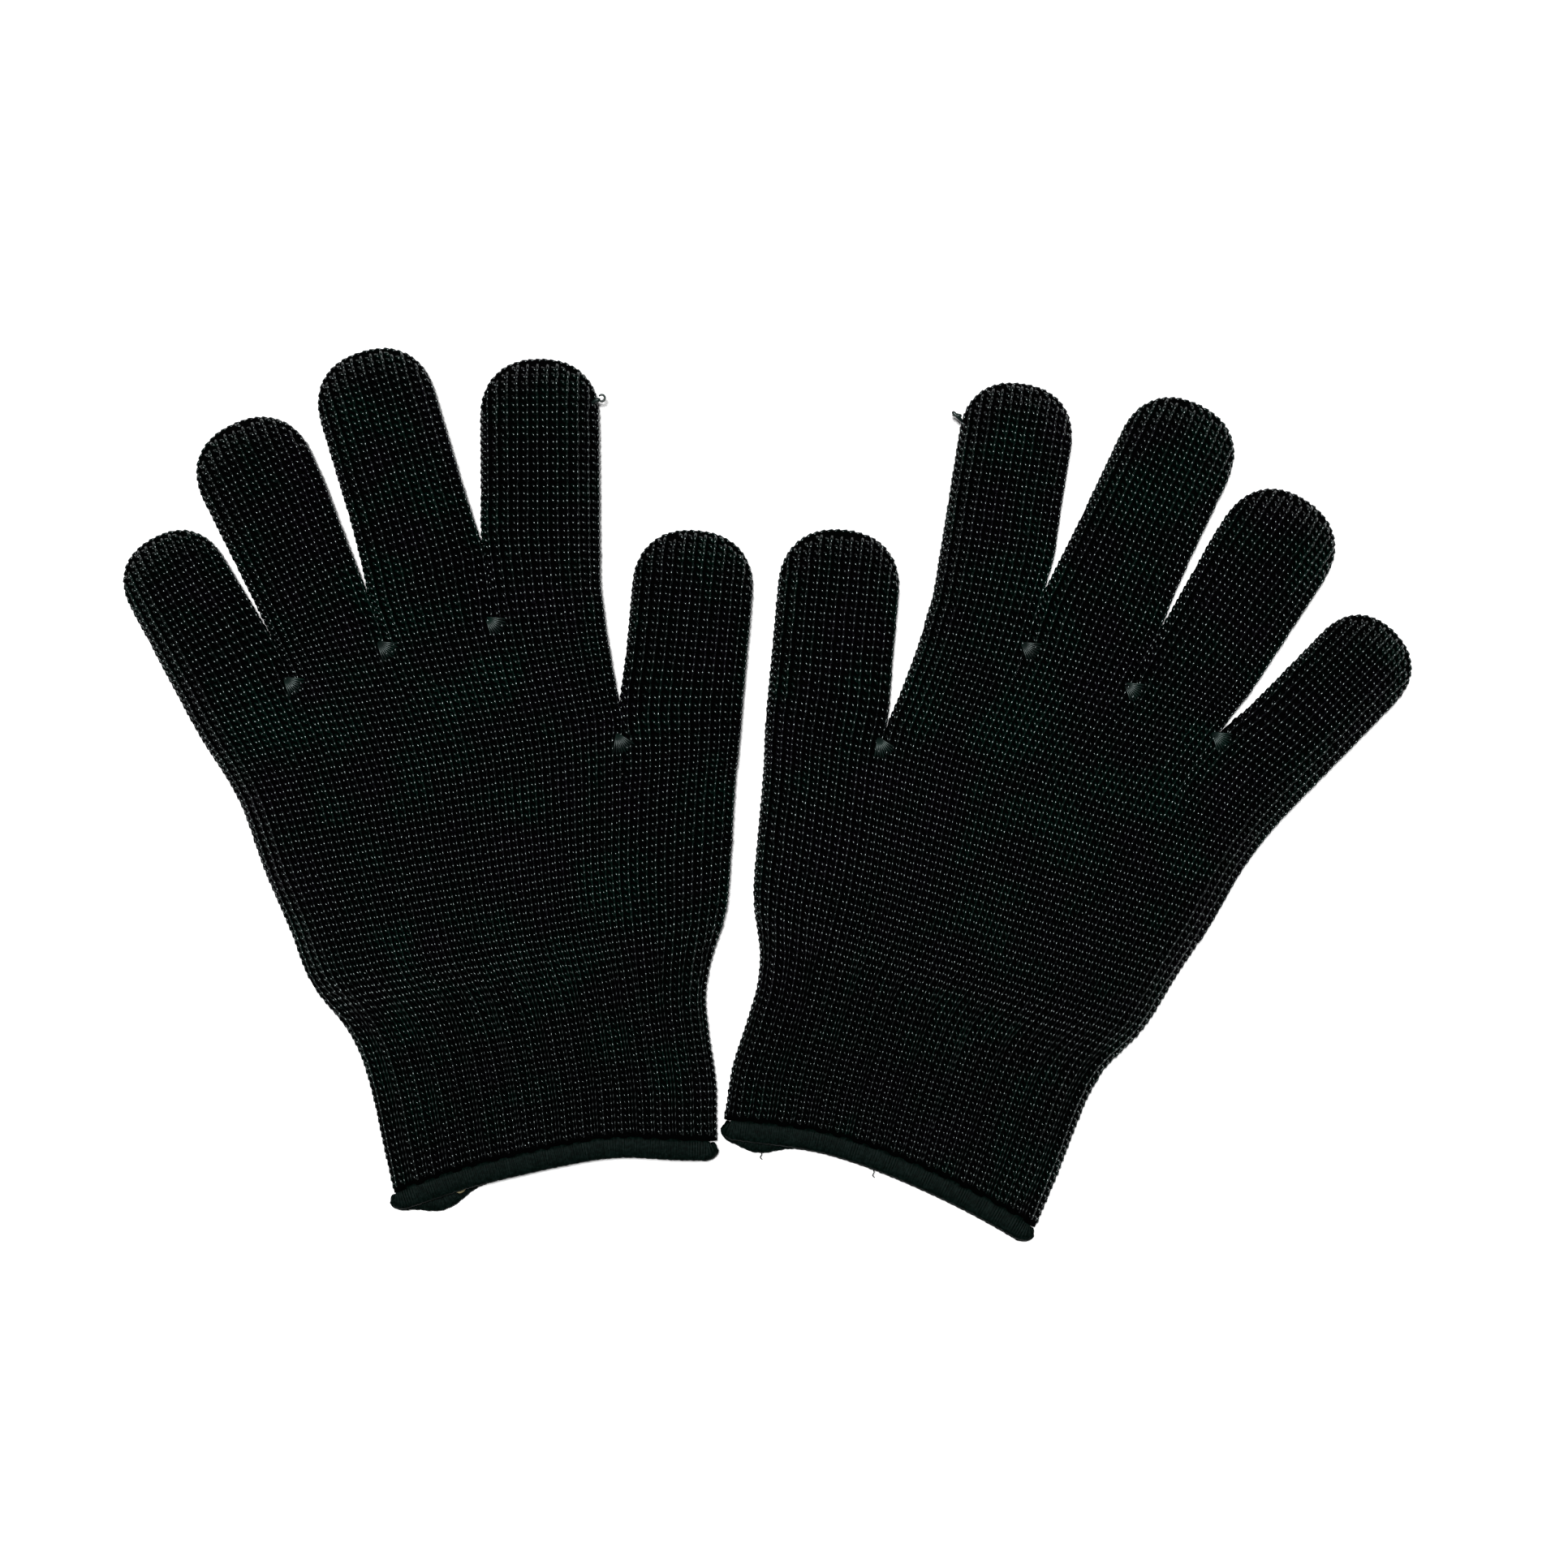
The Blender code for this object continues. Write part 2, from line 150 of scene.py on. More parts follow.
# Places up the glove.
KNUCKLE = 126 * MM
WRIST = 48 * MM
WRIST_BEND = 10 * MM
KNUCKLE_BEND = 10 * MM
HEM_TOP = 4.3 * MM
CUFF_TOP = 62 * MM
HAND_TOP = 114 * MM

# A tube's side above its crotch: how soon it lies square and takes its full width, the step
# between its points, and their gap to the line between two tubes.
ROOT_REACH = 22 * MM
WIDTH_REACH = 10 * MM
SIDE_STEP = 4 * MM
CLAMP_GAP = 0.05 * MM
# Two joined tubes part from a little below their crotch.
PARTING_BELOW = 5 * MM
PARTING = 11 * MM
# A fingertip's outline is a superellipse of this power.
TIP_POWER = 2.3

# The cuff's ribs: two raised wales, then one or two sunk ones.
RIB_GROUPS = (4, 3) * 8 + (4,)
RAISED_WIDTH = 1.3
SUNK_WIDTH = 0.7
RAISED = 0.45 * MM
SUNK = -1.15 * MM
RIB_TOP = 44 * MM
RIB_FADE = 20 * MM
RIB_INSET = 3 * MM

# The cuff's mouth is an arch, highest in its middle.
MOUTH_MIDDLE = 1 * MM
MOUTH_HALF = 44 * MM
MOUTH_ARCH = 5.0 * MM
ARCH_REACH = 46 * MM

# The hem: the pitch of its wound thread is HEM_WRAP and of its scalloped edge HEM_SCALLOP, its
# corners round over HEM_CORNER, and it lies sunk a little in the cuff's faces.
HEM_MIDDLE = 1.85 * MM
HEM_HALF = 2.8 * MM
HEM_THICK = 0.75 * MM
HEM_WRAP = 0.7 * MM
HEM_SCALLOP = 1.5 * MM
HEM_CORNER = 2.8 * MM
HEM_SINK = 0.1 * MM
# Slower unevenness along the hem, in its thickness and in its height.
HEM_LUMP = 5.3 * MM
HEM_WANDER = 2.9 * MM
# The hem is the lower layer's from this height down, and turns over this much above it.
HEM_UNDER = 1.4 * MM
HEM_TURN = 1.8 * MM

# How far the lower layer's hem shows, in mm: everywhere, and the most, where, and how wide.
HEM_PEEK = {"left": (0.3, 3.5, 12.5, 6.5), "right": (0.5, 2.4, 9.5, 5.5)}
# How far the hem stands out past the cuff's two sides, in mm.
HEM_SPARE = {"left": (0.6, -1.0), "right": (-0.4, -1.0)}

# The seam thread along the hem near that corner, the zig-zag beside it, and loose thread ends.
SEAM_START = 3 * MM
SEAM_LENGTH = 26 * MM
SEAM_PROUD = 0.45 * MM
SEAM_RADIUS = 0.15 * MM
ZIGZAG_STEP = 0.9 * MM
ZIGZAG_DOWN = (1.9, 0.75)
ZIGZAG_UP = (0.12, 0.38)
ZIGZAG_RADIUS = 0.17 * MM
THREAD_ENDS = ((32.8, -1.6, 1.4), (3.0, 3.5, 2.0))
THREAD_CURL = ((0, 0.9, 0), (0.3, 0, 0.3), (-0.1, -0.8, 0.1), (0.5, -1.5, -0.5))
THREAD_RADIUS = 0.14 * MM

# Rings round the mouth are smoothed over this many points each way, in x, y and z.
SMOOTHING = (3, 3, 9)

# The elastic: one ring inside the cuff, and the bit that shows at the left glove's hem, in mm.
ELASTIC_V = 9.6 * MM
ELASTIC_SINK = 1.75 * MM
ELASTIC_SPARE = (-1.6 * MM, -1.6 * MM)
ELASTIC_RADIUS = 0.45 * MM
ELASTIC_STEP = 1.2 * MM
ELASTIC_BIT = ((-27.4, 2.3, 2.3), (-26.2, 1.2, 2.9), (-24.9, 1.5, 2.9), (-24.0, 2.6, 2.4))
ELASTIC_BIT_RADIUS = 0.26 * MM

# A darn: its strands on each face, its fan and turn in degrees, how far the strands spread,
# their points as (share of the length, height in mm), and where it lies from the crotch.
DARN_STRANDS = {1: 9, -1: 5}
DARN_FAN = 58
DARN_TURNS = (-38, -38, -38, -66)
DARN_SPREAD = -2.6 * MM
DARN_LENGTH = 4.2 * MM
DARN_POINTS = ((-0.30, -0.7), (0.1, 0.3), (0.6, 0.35), (1.0, -0.6))
DARN_SHIFT = (-0.6 * MM, -0.7 * MM)
DARN_RADIUS = 0.25 * MM
DARN_PROUD = 0.35 * MM
DARN_BELOW = 2 * MM

# The yarn's end at the index fingertip, in mm from the middle of its place.
YARN_LOOP = (0.9, 0.5, 0)
YARN_LOOP_RADIUS = 0.85 * MM
YARN_STUB = ((-2.2, -1.4, -0.8), (-1.2, -0.5, 0), (-0.2, 0.0, 0.3), (0.4, -0.2, 0))
YARN_KNOT = (((1.6, -1.6, -0.6), (-1.0, 0.9, 0.2)), ((1.5, -0.3, 0), (-0.9, 0.2, -0.5)))


def smooth(x):
    x = np.clip(x, 0.0, 1.0)
    return x * x * (3 - 2 * x)


def joint(name):
    return next(j for j in frame["joints"] if j["name"] == name)


def vertices(node):
    mesh = frame["nodes"][node].data
    flat = np.empty(len(mesh.vertices) * 3)
    mesh.vertices.foreach_get("co", flat)
    return flat.reshape(-1, 3)


class Curve:
    """A smooth curve through points at the given v, straight beyond its ends."""

    def __init__(self, knots, points):
        self.knots = np.array(knots)
        self.points = np.array(points)
        self.slopes = np.gradient(self.points, self.knots, axis=0)

    def __call__(self, v):
        k = np.clip(np.searchsorted(self.knots, v) - 1, 0, len(self.knots) - 2)
        gap = (self.knots[k + 1] - self.knots[k])[..., None]
        over = np.asarray(v) - np.clip(v, self.knots[0], self.knots[-1])
        t = (np.asarray(v) - over - self.knots[k])[..., None] / gap
        p0, p1 = self.points[k], self.points[k + 1]
        m0, m1 = self.slopes[k] * gap, self.slopes[k + 1] * gap
        inside = (
            (2 * t**3 - 3 * t**2 + 1) * p0
            + (t**3 - 2 * t**2 + t) * m0
            + (3 * t**2 - 2 * t**3) * p1
            + (t**3 - t**2) * m1
        )
        ends = np.where(over[..., None] > 0, self.slopes[-1], self.slopes[0])
        return inside + over[..., None] * ends


def along_path(at, distances, path):
    """The points of a path at other distances along it."""
    return np.stack([np.interp(at, distances, column) for column in path.T], axis=-1)


def bearing(vector):
    """The unit plan vector, and the one a quarter turn clockwise from it."""
    way = np.array(vector) / np.linalg.norm(vector)
    return way, np.array((way[1], -way[0]))


class Glove:
    """Where everything on one glove is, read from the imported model's joints and fingertips."""

    def __init__(self, side):
        self.side = side
        self.mirror = 1 if side == "left" else -1
        knuckle = joint(f"{side}_knuckle_fold")
        axis = np.array(knuckle["axis"][:2])
        self.across = axis * self.mirror
        self.way = np.array((-axis[1], axis[0]))
        self.mouth = np.array(knuckle["pos_m"][:2]) - KNUCKLE * self.way
        self.roots, self.ways, self.sides, self.lengths, self.reaches = [], [], [], [], []
        for f, finger in enumerate(TUBES):
            names = ("base_fold", "tip_fold") if finger == "thumb" else ("middle_fold", "tip_fold")
            folds = [joint(f"{side}_{finger}_{n}") for n in names]
            spots = [self.local(np.array(j["pos_m"][:2])) for j in folds]
            way, right = bearing(spots[1] - spots[0])
            root = spots[0] - way * FOLDS[f] * MM
            tip = self.local(vertices(f"{side}_{finger}_tip")[:, :2])
            self.roots.append(root)
            self.ways.append(way)
            self.sides.append(right)
            self.lengths.append(((tip - root) @ way).max())
            self.reaches.append(np.linalg.norm(spots[1] - spots[0]) / 2)
        self.tubes = [self.tube(f) for f in range(len(TUBES))]
        self.ripples = rng.uniform(0, 2 * math.pi, (3, 9))

    def local(self, xy):
        out = np.asarray(xy) - self.mouth
        return np.stack((out @ self.across, out @ self.way), axis=-1)

    def world(self, xyz):
        plan = self.mouth + xyz[..., :1] * self.across + xyz[..., 1:2] * self.way
        return np.concatenate((plan, xyz[..., 2:]), axis=-1)

    def turned(self, vectors):
        """Directions in the glove's own frame, turned to the world's."""
        plan = vectors[..., :1] * self.across + vectors[..., 1:2] * self.way
        return np.concatenate((plan, vectors[..., 2:]), axis=-1)

    def edge(self, f, hand, sign, corner, clamp, touch=0.0):
        """One side of a tube, -1 the little finger's and 1 the thumb's: up the hand's rows, by
        the corner, then up the finger, behind the line through the corner that clamp crosses."""
        root, way, right = self.roots[f], self.ways[f], self.sides[f]
        start = root[1]
        half = (HALF_WIDTHS[f] + (THUMB_SPREAD if f == 4 else KNIT_SPREAD)) * MM
        half += TUBE_SHIFTS[self.side][f][sign > 0] * MM
        corner = np.array(corner) * MM if corner else root + right * sign * half
        v_corner = start if clamp is None else corner[1]
        s_corner = (corner - root) @ way
        half_corner = (corner - root) @ right * sign
        shift = s_corner - (v_corner - start)
        knots = [y * MM for x, y in hand]
        points = [np.array((x, y)) * MM for x, y in hand]
        rows = np.arange(v_corner, start + self.lengths[f] + 1e-6, SIDE_STEP)
        for v in rows:
            up = v - v_corner
            s = v - start + shift * (1 - smooth(up / ROOT_REACH))
            wide = half + (half_corner - half) * (1 - smooth(up / WIDTH_REACH))
            if clamp is not None:
                wide += touch * (1 - smooth(up / TOUCH_REACH))
            elif touch:
                fall = 1 - smooth((up - THUMB_TOUCH_RISE) / THUMB_TOUCH_FALL)
                wide += touch * smooth(up / THUMB_TOUCH_RISE) * fall
            spot = root + s * way + sign * wide * right
            if clamp is not None:
                over = (spot - corner) @ clamp
                spot = spot - max(over + CLAMP_GAP, 0) * clamp
            knots.append(v)
            points.append(spot)
        return Curve(knots, points)

    def bisector(self, k, sign):
        """Across the line midway between tubes k and k + 1; the thumb lies apart and has none."""
        if k == 3:
            return None
        return bearing(self.ways[k] + self.ways[k + 1])[1] * sign

    def tube(self, f):
        """Both sides of a tube, the little finger's first."""
        little = [(x - out, y) for (x, y), out in zip(LITTLE_EDGE, OUTER_SHIFTS[self.side])]
        thumb = [(x + out, y) for (x, y), out in zip(THUMB_EDGE, THUMB_SHIFTS[self.side])]
        if f == 4:
            touch = THUMB_TOUCH[self.side] * MM
            left = self.edge(4, THUMB_SEAM[:-1], -1, CROTCHES[3], None, touch)
            right = self.edge(4, thumb, 1, None, None)
            return left, right
        seams = []
        for part in (f / 4, (f + 1) / 4):
            seams.append([(a[0] + (b[0] - a[0]) * part, a[1]) for a, b in zip(little, THUMB_SEAM)])
        touches = TOUCHES[self.side]
        left_corner = CROTCHES[f - 1] if f else None
        left_clamp = self.bisector(f - 1, -1) if f else None
        left_touch = touches[f - 1] * MM if f else 0.0
        left = self.edge(f, seams[0], -1, left_corner, left_clamp, left_touch)
        if f == 3:
            seams[1] += INDEX_SIDE[self.side]
            return left, self.edge(f, seams[1], 1, INDEX_CORNER[self.side], None)
        right = self.edge(f, seams[1], 1, CROTCHES[f], self.bisector(f, 1), touches[f] * MM)
        return left, right

    def rib(self, v):
        """1 in the cuff, where the wales stand in ribs, and 0 in the hand."""
        return 1 - smooth((v - RIB_TOP) / RIB_FADE)

    def free(self, k, v):
        """1 where the line between two tubes is an open edge, 0 where they are joined."""
        if k in (0, 5):
            return np.ones_like(v)
        return smooth((v - CROTCHES[k - 1][1] * MM + PARTING_BELOW) / PARTING)

    def plan(self, f, u, v, round_tip=False):
        """(point, how far in from the nearest edge, tube's half width) in the glove's frame."""
        total = len(TUBES) * WALES
        drawn = self.rib(v)
        place, low, high = (
            c + drawn * (np.interp(c, RIB_C, RIB_PLACE) * total - c)
            for c in (f * WALES + u, f * WALES, (f + 1) * WALES)
        )
        t = (place - low) / (high - low)
        left, right = self.tubes[f][0](v), self.tubes[f][1](v)
        half = np.linalg.norm(right - left, axis=-1) / 2
        over = v - self.roots[f][1] - self.lengths[f] + half
        rise = np.clip(over / half, 0, 1)
        if round_tip:
            t = 0.5 + (t - 0.5) * (1 - rise**TIP_POWER) ** (1 / TIP_POWER)
        across = 2 * t - 1
        near = np.abs(across) ** TIP_POWER + rise**TIP_POWER
        tip_gap = np.where(over > 0, half * (1 - near ** (1 / TIP_POWER)), 1.0)
        flank = []
        for side, share in ((0, t), (1, 1 - t)):
            edged = self.free(f + side, v)
            flank.append(np.maximum(2 * half * share, 0.01 * MM) + (1 - edged) * JOINED_INSET)
        inset = (flank[0] ** -4 + flank[1] ** -4) ** -0.25
        inset = np.minimum(inset, tip_gap)
        spot = left + (right - left) * t[..., None]
        bow = 1 - ((spot[..., 0] - MOUTH_MIDDLE) / MOUTH_HALF) ** 2
        spot[..., 1] += MOUTH_ARCH * np.maximum(bow, 0) * (1 - smooth(v / ARCH_REACH))
        dip = np.interp(spot[..., 0] / MM, *np.array(MOUTH_DIPS[self.side]).T) * MM
        spot[..., 1] -= dip * (1 - smooth(v / DIP_REACH))
        return spot, inset, half

    def waves(self, c, v, spot):
        """How much the cloth rises and falls: slow waves all over, and gathers above the cuff."""
        x, y = spot[..., 0], spot[..., 1]
        starts, angles, gathers = self.ripples
        slow = np.zeros_like(x)
        for k in range(9):
            length = (17 + 5 * k) * MM
            along = x * math.cos(angles[k]) + y * math.sin(angles[k])
            slow += np.sin(along * 2 * math.pi / length + starts[k])
        pucker = np.zeros_like(x)
        for k in range(5):
            sway = 1.3 * np.sin(v / (14 * MM) + starts[k])
            pucker += np.sin(c * (0.75 + 0.23 * k) + gathers[k] + sway)
        near_cuff = smooth((v - 40 * MM) / (10 * MM)) * (1 - smooth((v - 56 * MM) / (30 * MM)))
        return WAVE_HEIGHT * slow + GATHER_HEIGHT * near_cuff * pucker

    def surface(self, f, u, v, face, round_tip=False):
        """The cloth's face: 1 is the upper one and -1 the lower."""
        u, v = np.broadcast_arrays(np.asarray(u, float), np.asarray(v, float))
        spot, inset, half = self.plan(f, u, v, round_tip)
        turn = np.clip(inset / ROLL, 0, 1)
        turn = np.sqrt(1 - (1 - turn) ** 2)
        if face > 0:
            c = f * WALES + u
            crown = np.interp(v, CROWN_V, CROWN_Z)
            dome = smooth(inset / PILLOW)
            z = RIM_HEIGHT + (SIDE_TOP - RIM_HEIGHT) * turn + (crown - SIDE_TOP) * dome
            z = z + self.waves(c, v, spot) * dome
            z = z + np.interp(c, RIB_MIDDLE, RIB_HEIGHT) * self.rib(v) * smooth(inset / RIB_INSET)
        else:
            z = RIM_HEIGHT - (RIM_HEIGHT - FLOOR_GAP) * turn
        return np.concatenate((spot, z[..., None]), axis=-1), inset, half

    def normal(self, f, u, v, face):
        step = 0.4 * MM
        a = self.surface(f, u + 0.2, v, face)[0] - self.surface(f, u - 0.2, v, face)[0]
        b = self.surface(f, u, v + step, face)[0] - self.surface(f, u, v - step, face)[0]
        n = np.cross(a, b) * face
        return n / np.maximum(np.linalg.norm(n, axis=-1, keepdims=True), 1e-12)


def rib_tables():
    """Where the cuff's wale seams lie, as shares of its width, and how proud each wale stands."""
    widths, heights = [], []
    for group in RIB_GROUPS:
        widths += [RAISED_WIDTH] * 2 + [SUNK_WIDTH] * (group - 2)
        heights += [RAISED] * 2 + [SUNK] * (group - 2)
    place = np.concatenate(((0,), np.cumsum(widths)))
    return np.arange(len(place)), place / place[-1], np.arange(len(heights)) + 0.5, heights


RIB_C, RIB_PLACE, RIB_MIDDLE, RIB_HEIGHT = rib_tables()


def ring_quads(count, around, start=0, wraps=False):
    """Quads between count rings, each of that many points around, numbered on from start."""
    j = np.arange(around)
    following = (j + 1) % around
    quads = []
    for k in range(count if wraps else count - 1):
        low, high = start + k * around, start + (k + 1) % count * around
        quads.append(np.stack((low + j, low + following, high + following, high + j), axis=1))
    return np.concatenate(quads)


def end_caps(count, around):
    """Triangles from the first and the last of count rings to two poles numbered after them."""
    j = np.arange(around)
    following = (j + 1) % around
    pole, last = count * around, (count - 1) * around
    starts = np.stack((np.full(around, pole), following, j), axis=1)
    ends = np.stack((np.full(around, pole + 1), last + j, last + following), axis=1)
    return np.concatenate((starts, ends))


def strands(centres, normals, radii, sides, shape):
    """(points, quads, triangles) of closed tubes; each row of centres has a pole at both ends."""
    count, stations = centres.shape[:2]
    tangents = np.gradient(centres, axis=1)
    tangents /= np.maximum(np.linalg.norm(tangents, axis=2, keepdims=True), 1e-12)
    across = np.cross(normals, tangents)
    across /= np.maximum(np.linalg.norm(across, axis=2, keepdims=True), 1e-12)
    up = np.cross(tangents, across)
    angles = np.arange(sides) * 2 * math.pi / sides
    rings = centres[:, 1:-1, None, :] + (radii[:, None] * shape)[:, :, None, None] * (
        np.cos(angles)[None, None, :, None] * across[:, 1:-1, None, :]
        + np.sin(angles)[None, None, :, None] * up[:, 1:-1, None, :]
    )
    ring_count = stations - 2
    rings = rings.reshape(count, ring_count * sides, 3)
    points = np.concatenate((rings, centres[:, :1], centres[:, -1:]), axis=1)
    offset = (np.arange(count) * (ring_count * sides + 2))[:, None, None]
    quads = ring_quads(ring_count, sides)[None] + offset
    triangles = end_caps(ring_count, sides)[None] + offset
    return points.reshape(-1, 3), quads.reshape(-1, 4), triangles.reshape(-1, 3)


class Heap:
    """Gathers meshes into one."""

    def __init__(self):
        self.points, self.faces, self.kinds, self.count = [], [], [], 0

    def add(self, points, *faces, kind=0):
        self.points.append(points)
        for group in faces:
            self.faces.append(group + self.count)
            self.kinds.append(kind)
        self.count += len(points)

    def build(self, name, *materials):
        """A smooth object of all that was added; each group of faces has its kind's material."""
        mesh = bpy.data.meshes.new(name)
        corners = np.concatenate([f.ravel() for f in self.faces])
        sizes = np.concatenate([np.full(len(f), f.shape[1]) for f in self.faces])
        mesh.vertices.add(self.count)
        mesh.vertices.foreach_set("co", np.concatenate(self.points).astype(np.float32).ravel())
        mesh.loops.add(len(corners))
        mesh.loops.foreach_set("vertex_index", corners.astype(np.int32))
        mesh.polygons.add(len(sizes))
        starts = np.concatenate(((0,), np.cumsum(sizes)[:-1]))
        mesh.polygons.foreach_set("loop_start", starts.astype(np.int32))
        mesh.polygons.foreach_set("use_smooth", np.ones(len(sizes), bool))
        for material in materials:
            mesh.materials.append(material)
        kinds = np.repeat(self.kinds, [len(f) for f in self.faces])
        mesh.polygons.foreach_set("material_index", kinds.astype(np.int32))
        mesh.update(calc_edges=True)
        mesh.validate()
        obj = bpy.data.objects.new(name, mesh)
        bpy.context.scene.collection.objects.link(obj)
        return obj


def cloth(glove, heap, tubes, v_low, v_high):
    """The thin cloth under the yarn, hollow, from row to row; its near black is painted shade for
    the gaps between stitches. v_high may be a tube's end.
    """
    closes = len(tubes) == 1 and v_high >= glove.roots[tubes[0]][1] + glove.lengths[tubes[0]] - 1e-9
    rows = np.linspace(v_low, v_high, max(int((v_high - v_low) / (2 * COURSE)), 3))
    if closes:
        half = HALF_WIDTHS[tubes[0]] * MM
        arc = np.sin(np.linspace(0, math.pi / 2, 9)) * half
        straight = rows[rows < v_high - half - 1 * MM]
        rows = np.concatenate((straight, v_high - half + arc - 0.02 * MM))
    u = np.concatenate(((0, 0.15, 0.45), np.arange(1, WALES), (WALES - 0.45, WALES - 0.15, WALES)))
    skins = []
    for face in (1, -1):
        parts = []
        for f in tubes:
            inner = u[u < WALES] if f != tubes[-1] else u
            parts.append(glove.surface(f, inner[None, :], rows[:, None], face, closes)[0])
        skins.append(np.concatenate(parts, axis=1))
    top, bottom = skins
    middle = (top[:, :1] + top[:, -1:]) / 2
    loops = []
    for inset in (0, CLOTH):
        flank = np.linalg.norm(top[:, -1] - top[:, 0], axis=1)[:, None, None]
        shrink = np.clip(1 - 2 * inset / np.maximum(flank, 1e-6), 0.05, 1)
        pair = []
        for skin, way in ((top, -1), (bottom, 1)):
            moved = middle + (skin - middle) * shrink
            level = (top[..., 2] + bottom[..., 2]) / 2
            room = np.abs(skin[..., 2] - level)
            moved[..., 2] = level - way * np.maximum(room - inset, 0.05 * MM if inset else 0)
            pair.append(moved)
        loops.append(np.concatenate((pair[0], pair[1][:, ::-1][:, 1:-1]), axis=1))
    outer, inner = loops
    if closes:
        inner = inner[:-2]
    around = outer.shape[1]
    points = np.concatenate((outer.reshape(-1, 3), inner.reshape(-1, 3)))
    base = len(outer) * around
    quads = [
        ring_quads(len(outer), around)[:, ::-1],
        ring_quads(len(inner), around, base),
    ]
    j = np.arange(around)
    following = (j + 1) % around
    quads.append(np.stack((j, following, base + following, base + j), axis=1))
    last, last_in = (len(outer) - 1) * around, base + (len(inner) - 1) * around
    if closes:
        quads.append(mirror_cap(last, around)[:, ::-1])
        quads.append(mirror_cap(last_in, around))
    else:
        end = (last + following, last + j, last_in + j, last_in + following)
        quads.append(np.stack(end, axis=1))
    quads = np.concatenate(quads)
    heap.add(glove.world(points), quads if glove.mirror > 0 else quads[:, ::-1], kind=1)


def mirror_cap(start, around):
    """Quads that close a flat loop whose second half runs back under its first."""
    k = np.arange(around // 2)
    under = start + (around - k) % around
    under_next = start + (around - k - 1) % around
    return np.stack((start + k, start + k + 1, under_next, under), axis=1)


# The stations along a leg, and its relative thickness at those between its ends.
TOP_STATIONS = np.array((0.0, 0.16, 0.5, 0.84, 1.0))
TOP_SHAPE = np.array((0.78, 1.0, 0.78))
LOW_STATIONS = np.array((0.0, 0.27, 0.73, 1.0))
LOW_SHAPE = np.array((0.92, 0.92))

# Each leg: (u, v) where it starts and ends, in wales and courses, and how far it rises, in mm.
STRAIGHT_LEG = ((0.86, -0.22, 0.86, 1.1), (-0.1, 0.34, 0.46, 0.34, -0.1))
SLANTED_LEG = ((0.72, 0.0, 0.2, 0.86), (-0.4, 0.05, 0.3, 0.02, -0.5))
LEGS = (STRAIGHT_LEG, SLANTED_LEG)

# A leg's radius by its wale's width, and the least and the most of it.
LEG_RADIUS = 0.2
LEG_RADII = (0.34 * MM, 0.48 * MM)
# How uneven the legs are: across in wales, along in courses, in thickness and in height.
UNEVEN_ACROSS = 0.025
UNEVEN_ALONG = 0.05
UNEVEN_THICK = 0.06
UNEVEN_HEIGHT = 0.05 * MM
# How much thinner and deeper a sunk wale's legs are, and how much flatter the lower face's.
SUNK_THINNER = 0.22
SUNK_DEEPER = 0.25 * MM
LOWER_RISE = 0.6
# How near an open edge a leg may come, in wales and in plan.
EDGE_U = 0.22
EDGE_ROOM = 0.42 * MM


def legs(glove, heap, f, wales, v0, face):
    """Both legs of the stitches whose points are at v0, in those wales of one tube."""
    stations, shape = (TOP_STATIONS, TOP_SHAPE) if face > 0 else (LOW_STATIONS, LOW_SHAPE)
    count = len(v0)
    for (u_a, v_a, u_b, v_b), rises in LEGS:
        if glove.mirror < 0:
            u_a, u_b = 1 - u_a, 1 - u_b
        shake = rng.normal(0, 1, (4, count))
        t = stations[None, :]
        shift = UNEVEN_ACROSS * shake[0][:, None]
        lift = UNEVEN_ALONG * shake[1][:, None]
        v = v0[:, None] + COURSE * (v_a + (v_b - v_a) * t + lift)
        u = wales[:, None] + u_a + (u_b - u_a) * t + shift
        low, high = glove.free(f, v), glove.free(f + 1, v)
        u = np.clip(u, EDGE_U * low - 2 * (1 - low), WALES - EDGE_U * high + 2 * (1 - high))
        centres, inset, half = glove.surface(f, u, v, face)
        normal = glove.normal(f, u.mean(axis=1), v.mean(axis=1), face)
        pitch = 2 * half.mean(axis=1) / WALES
        radius = np.clip(LEG_RADIUS * pitch, *LEG_RADII) * (1 + UNEVEN_THICK * shake[2])
        proud = np.interp(f * WALES + wales + 0.5, RIB_MIDDLE, RIB_HEIGHT) * glove.rib(v0)
        hidden = np.clip(proud / SUNK, 0, 1)
        radius = radius * (1 - SUNK_THINNER * hidden)
        rise = np.interp(t, TOP_STATIONS, rises) * (1.0 if face > 0 else LOWER_RISE) * MM
        rise = rise + (UNEVEN_HEIGHT * shake[3] - SUNK_DEEPER * hidden)[:, None]
        centres = centres + normal[:, None, :] * rise[..., None]
        kept = inset.min(axis=1) > EDGE_ROOM
        if not kept.any():
            continue
        # Stitches of the sunk wales take the third slot, a duller yarn that paints the shade of the
        # rib's recesses.
        for group, kind in ((kept & (hidden < 0.5), 0), (kept & (hidden >= 0.5), 2)):
            if group.any():
                spots = glove.world(centres[group])
                normals = glove.turned(normal[group])[:, None, :] + np.zeros_like(spots)
                grains = strands(spots, normals, radius[group], 5 if face > 0 else 4, shape)
                heap.add(*grains, kind=kind)


# The side wale's legs, how uneven they are, and how far each way its direction is read.
RIM_RADIUS = 0.5 * MM
UNEVEN_RIM = 0.08
UNEVEN_RIM_ALONG = 0.1 * MM
RIM_SIGHT = 0.3 * MM


